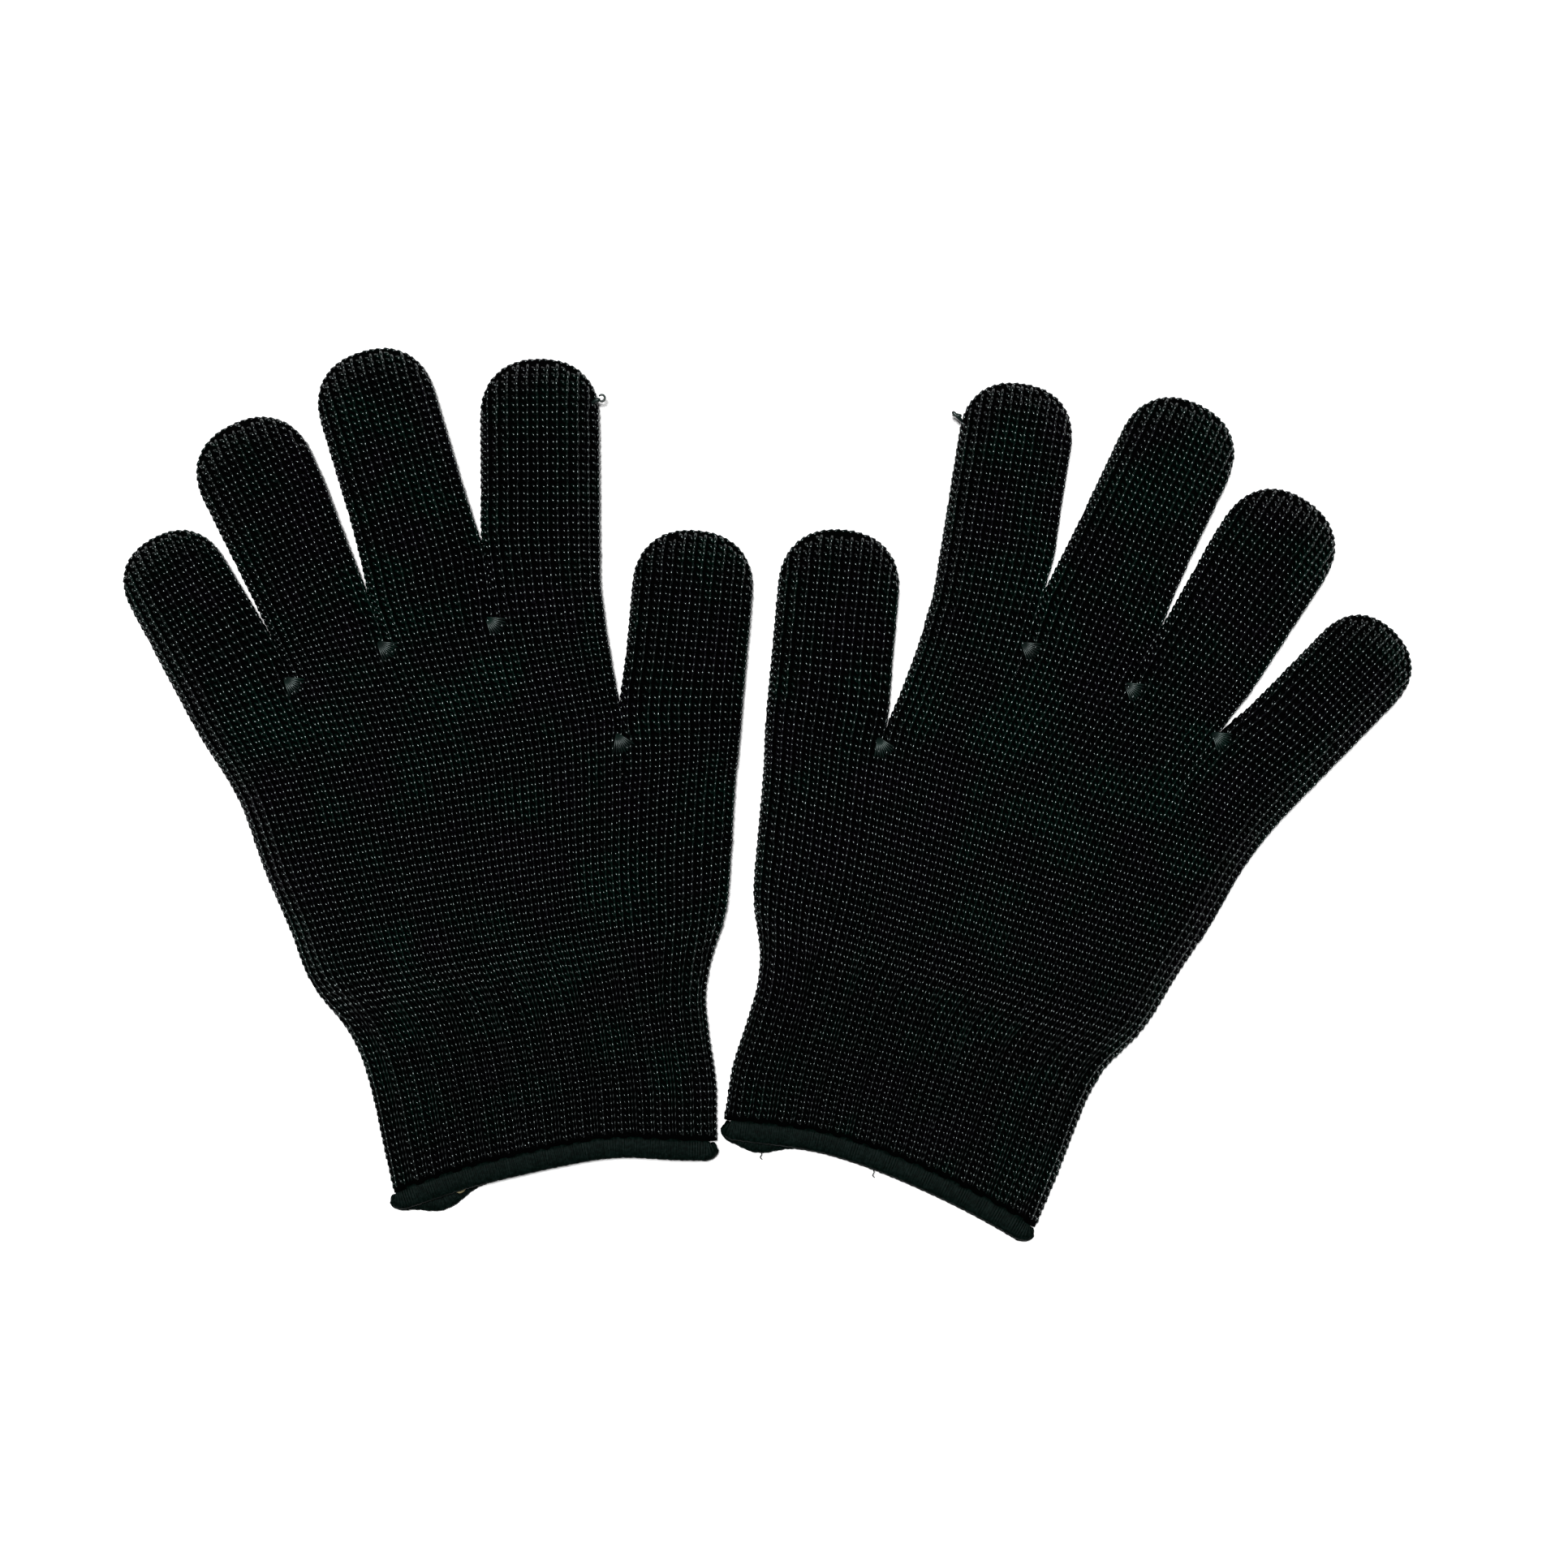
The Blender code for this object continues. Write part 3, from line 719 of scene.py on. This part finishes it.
def rim(glove, heap, path):
    """The side wale, seen edge on: slanted legs above and below the rim along an outline."""
    steps = np.linalg.norm(np.diff(path, axis=0), axis=1)
    path = path[np.concatenate(((True,), steps > 1e-6))]
    steps = steps[steps > 1e-6]
    along = np.concatenate(((0,), np.cumsum(steps)))
    starts = np.arange(0.3 * COURSE, along[-1] - 0.9 * COURSE, COURSE)
    if not len(starts):
        return
    for high in (1, -1):
        t = LOW_STATIONS[None, :]
        uneven = UNEVEN_RIM_ALONG * rng.normal(0, 1, (len(starts), 1))
        a = starts[:, None] + COURSE * (-0.1 + 1.15 * t) + uneven
        spot = along_path(a, along, path)
        ahead = along_path(a + RIM_SIGHT, along, path) - along_path(a - RIM_SIGHT, along, path)
        ahead /= np.maximum(np.linalg.norm(ahead, axis=-1, keepdims=True), 1e-9)
        outward = np.stack((ahead[..., 1], -ahead[..., 0]), axis=-1)
        out = (-0.75 + 0.55 * t + 0.25 * np.sin(math.pi * t)) * MM
        z = np.broadcast_to(RIM_HEIGHT + high * (1.0 - 0.75 * t) * MM, a.shape)
        centres = np.concatenate((spot + outward * out[..., None], z[..., None]), axis=-1)
        normals = np.concatenate((outward, np.full((*a.shape, 1), 0.6 * high)), axis=-1)
        normals /= np.linalg.norm(normals, axis=-1, keepdims=True)
        radius = RIM_RADIUS * (1 + UNEVEN_RIM * rng.normal(0, 1, len(starts)))
        heap.add(*strands(glove.world(centres), glove.turned(normals), radius, 5, LOW_SHAPE))


PATH_STEP = 0.8 * MM
# A rim starts this far above its crotch.
RIM_START = 4 * MM


def side_path(glove, f, side, v_low, v_high):
    """One side of a tube, with the outside on the path's right: 1 is the thumb's side."""
    rows = np.arange(v_low, v_high + 1e-9, PATH_STEP)
    path = glove.plan(f, np.full_like(rows, WALES * (side > 0)), rows, True)[0]
    return path if side > 0 else path[::-1]


def tip_path(glove, f, lows):
    """Up a finger's thumb side, round its tip and down its other side."""
    end = glove.roots[f][1] + glove.lengths[f]
    half = (HALF_WIDTHS[f] + KNIT_SPREAD) * MM
    rise = np.sin(np.linspace(0, math.pi / 2, 40)) * half
    sides = []
    for side, low in zip((1, -1), lows):
        rows = np.concatenate((np.arange(low, end - half, PATH_STEP), end - half + rise))
        sides.append(glove.plan(f, np.full_like(rows, WALES * (side > 0)), rows, True)[0])
    return np.concatenate((sides[0], sides[1][::-1][1:]))


def courses(v_low, v_high):
    """Where the points of the stitches of each course lie, from row to row."""
    return np.arange(math.ceil(v_low / COURSE), math.ceil(v_high / COURSE)) * COURSE


def knit(glove, name, parts, nodes, slot="knit"):
    """One piece of knitting: the cloth and its stitches. parts are (tubes, v_low, v_high)."""
    heap = Heap()
    for tubes, v_low, v_high in parts:
        cloth(glove, heap, tubes, v_low, v_high)
        for f in tubes:
            rows = courses(v_low, v_high)
            wales, v0 = (a.ravel().astype(float) for a in np.meshgrid(np.arange(WALES), rows))
            for face in (1, -1):
                legs(glove, heap, f, wales, v0, face)
    for path in rims(glove, parts):
        rim(glove, heap, path)
    piece = heap.build(f"{glove.side}_{name}", *YARNS[slot])
    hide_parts(*(f"{glove.side}_{node}" for node in nodes))
    return piece


def rims(glove, parts):
    """The outlines that these parts show."""
    for tubes, v_low, v_high in parts:
        for f in tubes:
            end = glove.roots[f][1] + glove.lengths[f]
            lows = []
            for side, k in ((1, f + 1), (-1, f)):
                free = 0.0 if k in (0, 5) else CROTCHES[k - 1][1] * MM + RIM_START
                lows.append(max(v_low, free))
            if v_high >= end - 1e-9:
                yield tip_path(glove, f, lows)
                continue
            for side, low in zip((1, -1), lows):
                if low < v_high - COURSE:
                    yield side_path(glove, f, side, low, v_high)


def tube(path, normals, radii, sides, closed):
    """(points, quads, triangles) of a tube along a path; radii is (stations, 2): across and up."""
    ahead = np.roll(path, -1, axis=0) - np.roll(path, 1, axis=0)
    if not closed:
        ahead[0], ahead[-1] = path[1] - path[0], path[-1] - path[-2]
    ahead /= np.linalg.norm(ahead, axis=1, keepdims=True)
    across = np.cross(normals, ahead)
    across /= np.linalg.norm(across, axis=1, keepdims=True)
    up = np.cross(ahead, across)
    angles = np.arange(sides) * 2 * math.pi / sides
    wide = np.sign(np.cos(angles)) * np.abs(np.cos(angles)) ** 0.8
    tall = np.sign(np.sin(angles)) * np.abs(np.sin(angles)) ** 0.8
    rings = path[:, None] + radii[:, :1, None] * wide[None, :, None] * across[:, None]
    rings = rings + radii[:, 1:, None] * tall[None, :, None] * up[:, None]
    points = rings.reshape(-1, 3)
    quads = ring_quads(len(path), sides, wraps=closed)
    if closed:
        return points, quads
    return np.concatenate((points, path[:1], path[-1:])), quads, end_caps(len(path), sides)


def strand(heap, points, radius, sides=7):
    """A short round yarn along a few world points, with its ends drawn in."""
    points = np.array(points)
    fine = Curve(np.linspace(0, 1, len(points)), points)(np.linspace(0, 1, 15))
    taper = np.full(15, radius)
    taper[[0, -1]] *= 0.45
    taper[[1, -2]] *= 0.85
    lean = np.array((0.21, 0.33, 0.92)) + np.zeros_like(fine)
    heap.add(*tube(fine, lean, np.stack((taper, taper), axis=1), sides, False))


def settle(glove, heap, name, materials, body, node):
    """Make the heap a piece that rides on one body and stands for one node of this glove."""
    piece = heap.build(f"{glove.side}_{name}", *materials)
    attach(piece, f"{glove.side}_{body}")
    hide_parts(f"{glove.side}_{node}")


def mouth_ring(glove, v, sink, spare, step):
    """A closed path round the cuff at v, sunk below its faces: its points, their outward
    directions and their distances along it. spare is how far it stands out at either side."""
    faces = []
    for face in (1, -1):
        own = np.linspace(0, WALES, 24)
        line = np.concatenate([glove.surface(f, own, v, face)[0] for f in range(len(TUBES))])
        line = line[np.concatenate(((True,), np.diff(line[:, 0]) > 0.05 * MM))]
        line[:, 2] -= face * sink
        faces.append(line)
    loop = np.concatenate((faces[0], faces[1][::-1]))
    loop = loop[np.concatenate(((True,), np.linalg.norm(np.diff(loop, axis=0), axis=1) > 1e-5))]
    reach = loop[:, 0].min(), loop[:, 0].max()
    columns = []
    for k, few in enumerate(SMOOTHING):
        padded = np.concatenate((loop[-few:, k], loop[:, k], loop[:few, k]))
        columns.append(np.convolve(padded, np.ones(2 * few + 1) / (2 * few + 1), "valid"))
    loop = np.stack(columns, axis=1)
    drawn = loop[:, 0].min(), 0, loop[:, 0].max()
    wanted = reach[0] - spare[0], 0, reach[1] + spare[1]
    loop[:, 0] = np.interp(loop[:, 0], drawn, wanted)
    around = np.concatenate((loop, loop[:1]))
    along = np.concatenate(((0,), np.cumsum(np.linalg.norm(np.diff(around, axis=0), axis=1))))
    count = int(along[-1] / step)
    walk = np.arange(count) * along[-1] / count
    path = along_path(walk, along, around)
    ahead = np.roll(path, -1, axis=0) - np.roll(path, 1, axis=0)
    outward = np.cross(ahead, (0, -1, 0))
    outward /= np.linalg.norm(outward, axis=1, keepdims=True)
    return path, outward, walk


def add_ring(glove, heap, path, outward, radii, sides):
    """A closed tube round the cuff, along a path in the glove's own frame."""
    points, quads = tube(path, outward, radii, sides, True)
    heap.add(glove.world(points), quads if glove.mirror > 0 else quads[:, ::-1])


def add_thread(glove, heap, path, lean, radius, sides):
    """A thread of the seam along a path in the glove's own frame."""
    normals = glove.turned(np.array(lean) + np.zeros_like(path))
    thin = np.full((len(path), 2), radius)
    heap.add(*tube(glove.world(path), normals, thin, sides, False), kind=1)


def hem(glove):
    """The bound edge of the cuff. The lower layer's edge shows below the upper near one corner."""
    spare = np.array(HEM_SPARE[glove.side]) * MM
    path, outward, walk = mouth_ring(glove, HEM_MIDDLE, HEM_SINK, spare, HEM_WRAP / 4)
    x = path[:, 0]
    below = 1 - smooth((path[:, 2] - HEM_UNDER) / HEM_TURN)
    from_corner = (x - x.min()) if glove.side == "left" else (x.max() - x)
    level, depth, place, width = HEM_PEEK[glove.side]
    peek = level + depth * np.exp(-(((from_corner - place * MM) / (width * MM)) ** 2))
    path[:, 1] -= below * peek * MM
    middle = (x.max() + x.min()) / 2
    near = np.clip((x.max() - middle - np.abs(x - middle)) / HEM_CORNER, 0, 1)
    rounding = 0.45 + 0.55 * np.sqrt(1 - (1 - near) ** 2)
    path[:, 1] += 0.8 * HEM_HALF * (1 - rounding)
    turns = walk * 2 * math.pi
    wraps = 1 + 0.13 * np.cos(turns / HEM_WRAP) + 0.08 * np.sin(turns / HEM_LUMP)
    scallops = 0.035 * np.abs(np.sin(turns / 2 / HEM_SCALLOP))
    uneven = 1 + scallops + 0.015 * np.sin(turns / HEM_WANDER)
    radii = np.stack((HEM_HALF * rounding * uneven, HEM_THICK * wraps), axis=1)
    heap = Heap()
    add_ring(glove, heap, path, outward, radii, 14)
    seam = (path[:, 2] > 3 * MM) & (from_corner > SEAM_START) & (from_corner < SEAM_LENGTH)
    band = path[seam] + outward[seam] * SEAM_PROUD
    band = band[np.argsort(band[:, 0])]
    line = band[::4] - (0, HEM_HALF * 0.93, 0)
    add_thread(glove, heap, line, (0.0, -0.6, 0.8), SEAM_RADIUS, 6)
    if glove.side == "right":
        zigzag = np.arange(band[0, 0] + 1 * MM, band[-1, 0], ZIGZAG_STEP)
        zigzag = along_path(zigzag, band[:, 0], band)
        low = np.arange(len(zigzag)) % 2 == 0
        zigzag[:, 1] -= np.where(low, *ZIGZAG_DOWN) * MM
        zigzag[:, 2] += np.where(low, *ZIGZAG_UP) * MM
        add_thread(glove, heap, zigzag, (0.0, -0.3, 0.95), ZIGZAG_RADIUS, 5)
        for spot in THREAD_ENDS:
            curl = np.array(THREAD_CURL) * MM
            strand(heap, glove.world(np.array(spot) * MM) + curl, THREAD_RADIUS)
    yarns = (hem_black, seam_thread)
    settle(glove, heap, "hem_band", yarns, "cuff", "hem_binding")


def elastic(glove):
    """The elastic ring inside the cuff, and the bit of it that shows at the left glove's hem."""
    heap = Heap()
    path, outward, walk = mouth_ring(glove, ELASTIC_V, ELASTIC_SINK, ELASTIC_SPARE, ELASTIC_STEP)
    add_ring(glove, heap, path, outward, np.full((len(walk), 2), ELASTIC_RADIUS), 8)
    if glove.side == "left":
        strand(heap, glove.world(np.array(ELASTIC_BIT) * MM), ELASTIC_BIT_RADIUS)
    settle(glove, heap, "elastic_cord", (elastic_buff,), "cuff", "cuff_elastic")


def darn(glove, k):
    """A fan of strands sewn over the end of a crease, on both faces."""
    pair = f"{TUBES[k]}_{TUBES[k + 1]}"
    crotch = np.array(CROTCHES[k]) * MM
    heap = Heap()
    for face, count in DARN_STRANDS.items():
        z = glove.surface(k, WALES - 1.0, crotch[1] - DARN_BELOW, face)[0][2] + face * DARN_PROUD
        centre = glove.world(np.array((*crotch, z)))
        turn = math.radians(DARN_TURNS[k])
        for j in range(count):
            fan = (j + 0.5) / count - 0.5
            angle = turn - math.radians(DARN_FAN * fan)
            way = np.array((math.cos(angle), math.sin(angle), 0))
            beside = np.array((-way[1], way[0], 0)) * DARN_SPREAD * fan
            spots = []
            for part, rise in DARN_POINTS:
                spots.append(centre + beside * (0.75 + 0.45 * part) + way * part * DARN_LENGTH)
                spots[-1][:2] += DARN_SHIFT
                spots[-1][2] += rise * face * MM
            strand(heap, spots, DARN_RADIUS, 6)
    body = "palm" if k == 3 else "knuckles"
    settle(glove, heap, f"{pair}_darn", (darning_black,), body, f"{pair}_darning")


def yarn_end(glove):
    """The yarn's end at the index fingertip: a small loop on one glove, a knot on the other."""
    low, high = (np.array(c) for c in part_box(f"{glove.side}_index_tip_knot"))
    centre = (low + high) / 2
    heap = Heap()
    if glove.side == "left":
        turns = np.linspace(-2.4, 2.6, 9)
        ring = np.stack((np.cos(turns), np.sin(turns), 0.12 * turns), axis=1) * YARN_LOOP_RADIUS
        strand(heap, centre + np.array(YARN_LOOP) * MM + ring, 0.3 * MM)
        strand(heap, centre + np.array(YARN_STUB) * MM, 0.55 * MM)
    else:
        for a, b in YARN_KNOT:
            a, b = np.array(a) * MM, np.array(b) * MM
            crown = (a + b) / 2 + (0, 0, 0.4 * MM)
            strand(heap, [centre + a, centre + crown, centre + b], 0.5 * MM)
    settle(glove, heap, "index_yarn_end", (darning_black,), "index_tip", "index_tip_knot")


def noise(tree, coords, scale):
    """A noise texture of that many turns a metre, fixed to the object."""
    node = tree.nodes.new("ShaderNodeTexNoise")
    node.inputs["Scale"].default_value = scale
    node.inputs["Detail"].default_value = 2.0
    tree.links.new(coords.outputs["Object"], node.inputs["Vector"])
    return node


def ramp(tree, source, stops):
    """A colour ramp through stops, which are (place, colour)."""
    node = tree.nodes.new("ShaderNodeValToRGB")
    node.color_ramp.elements[0].position = stops[0][0]
    node.color_ramp.elements[0].color = (*stops[0][1], 1)
    node.color_ramp.elements[1].position = stops[-1][0]
    node.color_ramp.elements[1].color = (*stops[-1][1], 1)
    for place, colour in stops[1:-1]:
        node.color_ramp.elements.new(place).color = (*colour, 1)
    tree.links.new(source, node.inputs["Fac"])
    return node


# How fine the yarn's filaments and the patches of its gloss are, and the filaments' relief.
FILAMENT_SCALE = 2600.0
GLOSS_SCALE = 420.0
FILAMENT_HEIGHT = 0.1 * MM
FILAMENT_BUMP = 0.35


def yarn_material(name, colours, rough, patch=70.0, specular=0.16):
    """Fine filament yarn: patches of slightly different colour, and a bump as fine as filaments."""
    material = bpy.data.materials.new(name)
    material.use_nodes = True
    tree = material.node_tree
    shader = tree.nodes["Principled BSDF"]
    coords = tree.nodes.new("ShaderNodeTexCoord")
    broad = noise(tree, coords, patch)
    stops = [(0.32 + 0.36 * k / (len(colours) - 1), c) for k, c in enumerate(colours)]
    tint = ramp(tree, broad.outputs["Fac"], stops)
    tree.links.new(tint.outputs["Color"], shader.inputs["Base Color"])
    fine = noise(tree, coords, FILAMENT_SCALE)
    gloss = tree.nodes.new("ShaderNodeMapRange")
    gloss.inputs["To Min"].default_value = rough[0]
    gloss.inputs["To Max"].default_value = rough[1]
    medium = noise(tree, coords, GLOSS_SCALE)
    tree.links.new(medium.outputs["Fac"], gloss.inputs["Value"])
    tree.links.new(gloss.outputs["Result"], shader.inputs["Roughness"])
    relief = tree.nodes.new("ShaderNodeBump")
    relief.inputs["Strength"].default_value = FILAMENT_BUMP
    relief.inputs["Distance"].default_value = FILAMENT_HEIGHT
    tree.links.new(fine.outputs["Fac"], relief.inputs["Height"])
    tree.links.new(relief.outputs["Normal"], shader.inputs["Normal"])
    shader.inputs["Specular IOR Level"].default_value = specular
    shader.inputs["Specular Tint"].default_value = SHINE_TINT
    return material


# The colours that each yarn's patches run between, from greenish black to purplish or grey.
BLACKS = ((0.0001, 0.0040, 0.0026), (0.0004, 0.0010, 0.0009), (0.0012, 0.0006, 0.0016))
CUFF_BLACKS = ((0.0001, 0.0038, 0.0025), (0.0005, 0.0010, 0.0009), (0.0012, 0.0007, 0.0015))
HEM_BLACKS = ((0.0001, 0.0008, 0.0005), (0.0004, 0.0024, 0.0017), (0.0022, 0.0052, 0.0044))
SEAM_GREYS = ((0.020, 0.030, 0.026), (0.030, 0.035, 0.032))
DARNING_BLACKS = ((0.0010, 0.0080, 0.0055), (0.0014, 0.0050, 0.0040), (0.0020, 0.0040, 0.0036))
ELASTIC_BUFFS = ((0.09, 0.075, 0.035), (0.13, 0.11, 0.055), (0.17, 0.15, 0.08))
# The cloth under the knit is darker than any yarn: painted shade for the gaps between the stitches.
GAP_SHADE_BLACKS = ((0.0002, 0.0004, 0.0003), (0.0003, 0.0003, 0.0003), (0.0004, 0.0003, 0.0004))
SHINE_TINT = (0.86, 1.0, 0.98, 1)

bpy.context.scene.view_settings.view_transform = "Standard"
# Painted shade: the sunk wales' yarn is a copy of the cuff's yarn with more roughness and less
# gloss, standing for the shade in the rib's recesses.
sunk_shade_yarn = yarn_material("sunk_yarn_painted_shade", CUFF_BLACKS, (0.3, 0.45), specular=0.2)
# Painted shade: the cloth between the stitches is near black with almost no gloss, standing for the
# shade in the gaps.
gap_shade_black = yarn_material("ground_cloth_painted_gap_shade", GAP_SHADE_BLACKS, (0.9, 1.0), specular=0.01)
knit_black = yarn_material("knit_yarn", BLACKS, (0.18, 0.27), specular=0.4)
cuff_black = yarn_material("cuff_yarn", CUFF_BLACKS, (0.18, 0.3), specular=0.44)
hem_black = yarn_material("hem_thread_black", HEM_BLACKS, (0.4, 0.6), 1300.0, 0.03)
seam_thread = yarn_material("seam_thread", SEAM_GREYS, (0.4, 0.5), 300.0, 0.3)
darning_black = yarn_material("darning_yarn", DARNING_BLACKS, (0.32, 0.45), 300.0, 0.4)
elastic_buff = yarn_material("elastic_buff", ELASTIC_BUFFS, (0.5, 0.7), 900.0)
# Of a piece of knitting by its slot: its yarn, the cloth under it, in near black that paints the
# shade between the stitches, and the sunk wales' yarn, a duller copy with less gloss that paints
# the shade in the rib's recesses.
YARNS = {
    "knit": (knit_black, gap_shade_black),
    "cuff_knit": (cuff_black, gap_shade_black, sunk_shade_yarn),
}

HALF_THICK = 4.5 * MM


def point_at(glove, x, y):
    """The world point halfway up the glove at (x, y) in its own frame."""
    return tuple(glove.world(np.array((x, y, HALF_THICK))))


def build(side):
    """All pieces of one glove; the palm's knit, the hem, the elastic, the darns and the yarn end
    ride on the bodies that they cover, and the other pieces of knit stay where they are built.
    """
    glove = Glove(side)
    roots = [root[1] for root in glove.roots]
    every = list(range(5))
    cuff = knit(glove, "cuff_knit", [(every, HEM_TOP, CUFF_TOP)], ["cuff"], "cuff_knit")
    start = point_at(glove, 0, WRIST + WRIST_BEND)
    end = point_at(glove, 0, WRIST - WRIST_BEND)
    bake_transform(cuff)
    parts = [(every[:4], CUFF_TOP, HAND_TOP), (every[4:], CUFF_TOP, roots[4])]
    palm = knit(glove, "palm_knit", parts, ["palm", "upper_palm", "thumb_root"])
    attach(palm, f"{side}_palm")
    parts = [([f], HAND_TOP, roots[f]) for f in range(4)]
    nodes = ["knuckle_band", "little_root", "ring_root", "middle_root", "index_root"]
    knuckles = knit(glove, "knuckle_knit", parts, nodes)
    start = point_at(glove, 0, KNUCKLE - KNUCKLE_BEND)
    end = point_at(glove, 0, KNUCKLE + KNUCKLE_BEND)
    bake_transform(knuckles)
    for f, finger in enumerate(TUBES):
        middle, tip = f"{finger}_middle", f"{finger}_tip"
        bend = FOLDS[f] * MM + glove.reaches[f]
        edge = roots[f] + bend
        end = roots[f] + glove.lengths[f]
        lower = knit(glove, f"{finger}_lower_knit", [([f], roots[f], edge)], [middle])
        upper = knit(glove, f"{finger}_upper_knit", [([f], edge, end)], [tip])
        near = max(FOLDS[f] * MM - glove.reaches[f], 0.5 * MM)
        stops = (near, bend, bend + 2 * glove.reaches[f])
        spots = [point_at(glove, *(glove.roots[f] + s * glove.ways[f])) for s in stops]
        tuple(spots[0])
        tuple(spots[1])
        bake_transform(lower)
        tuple(spots[1])
        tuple(spots[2])
        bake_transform(upper)
    hem(glove)
    elastic(glove)
    for k in range(len(CROTCHES)):
        darn(glove, k)
    yarn_end(glove)


for side in ("left", "right"):
    build(side)


# The sky's grey by height, pale near the horizon and dim overhead, and the soft light above.
SKY = ((0.05, (0.62, 0.62, 0.62)), (0.12, (0.22, 0.22, 0.22)), (0.24, (0.03, 0.03, 0.03)))
SUN_PLACE = (-0.1, 0.26, 1.6)
SUN_ANGLE = 0.26
SUN_STRENGTH = 4.8
# The camera's place, nearly a metre above the gloves, and its lens and sensor in mm.
EYE = (0.0042, 0.0033, 0.9855)
LENS = 85.0
SENSOR = 36.0


def studio():
    """A pale floor, a soft light overhead, and a camera that looks straight down."""
    bpy.ops.mesh.primitive_plane_add(size=60.0, location=(0, 0, -0.0002))
    floor = bpy.context.object
    floor.name = "studio_floor"
    paint = bpy.data.materials.new("studio_white")
    paint.use_nodes = True
    shader = paint.node_tree.nodes["Principled BSDF"]
    shader.inputs["Base Color"].default_value = (0.9, 0.9, 0.9, 1)
    shader.inputs["Roughness"].default_value = 0.9
    floor.data.materials.append(paint)
    world = bpy.data.worlds.new("studio")
    world.use_nodes = True
    tree = world.node_tree
    coords = tree.nodes.new("ShaderNodeTexCoord")
    split = tree.nodes.new("ShaderNodeSeparateXYZ")
    tree.links.new(coords.outputs["Generated"], split.inputs["Vector"])
    sky = ramp(tree, split.outputs["Z"], SKY)
    tree.links.new(sky.outputs["Color"], tree.nodes["Background"].inputs["Color"])
    bpy.context.scene.world = world
    lamp = bpy.data.lights.new("overhead", "SUN")
    lamp.angle = SUN_ANGLE
    lamp.energy = SUN_STRENGTH
    light = bpy.data.objects.new("overhead", lamp)
    light.location = SUN_PLACE
    light.rotation_euler = (-Vector(SUN_PLACE)).to_track_quat("-Z", "Y").to_euler()
    bpy.context.scene.collection.objects.link(light)
    camera = bpy.data.cameras.new("camera")
    camera.lens = LENS
    camera.sensor_width = SENSOR
    camera.clip_start = 0.05
    eye = bpy.data.objects.new("camera", camera)
    eye.location = EYE
    bpy.context.scene.collection.objects.link(eye)
    bpy.context.scene.camera = eye


studio()
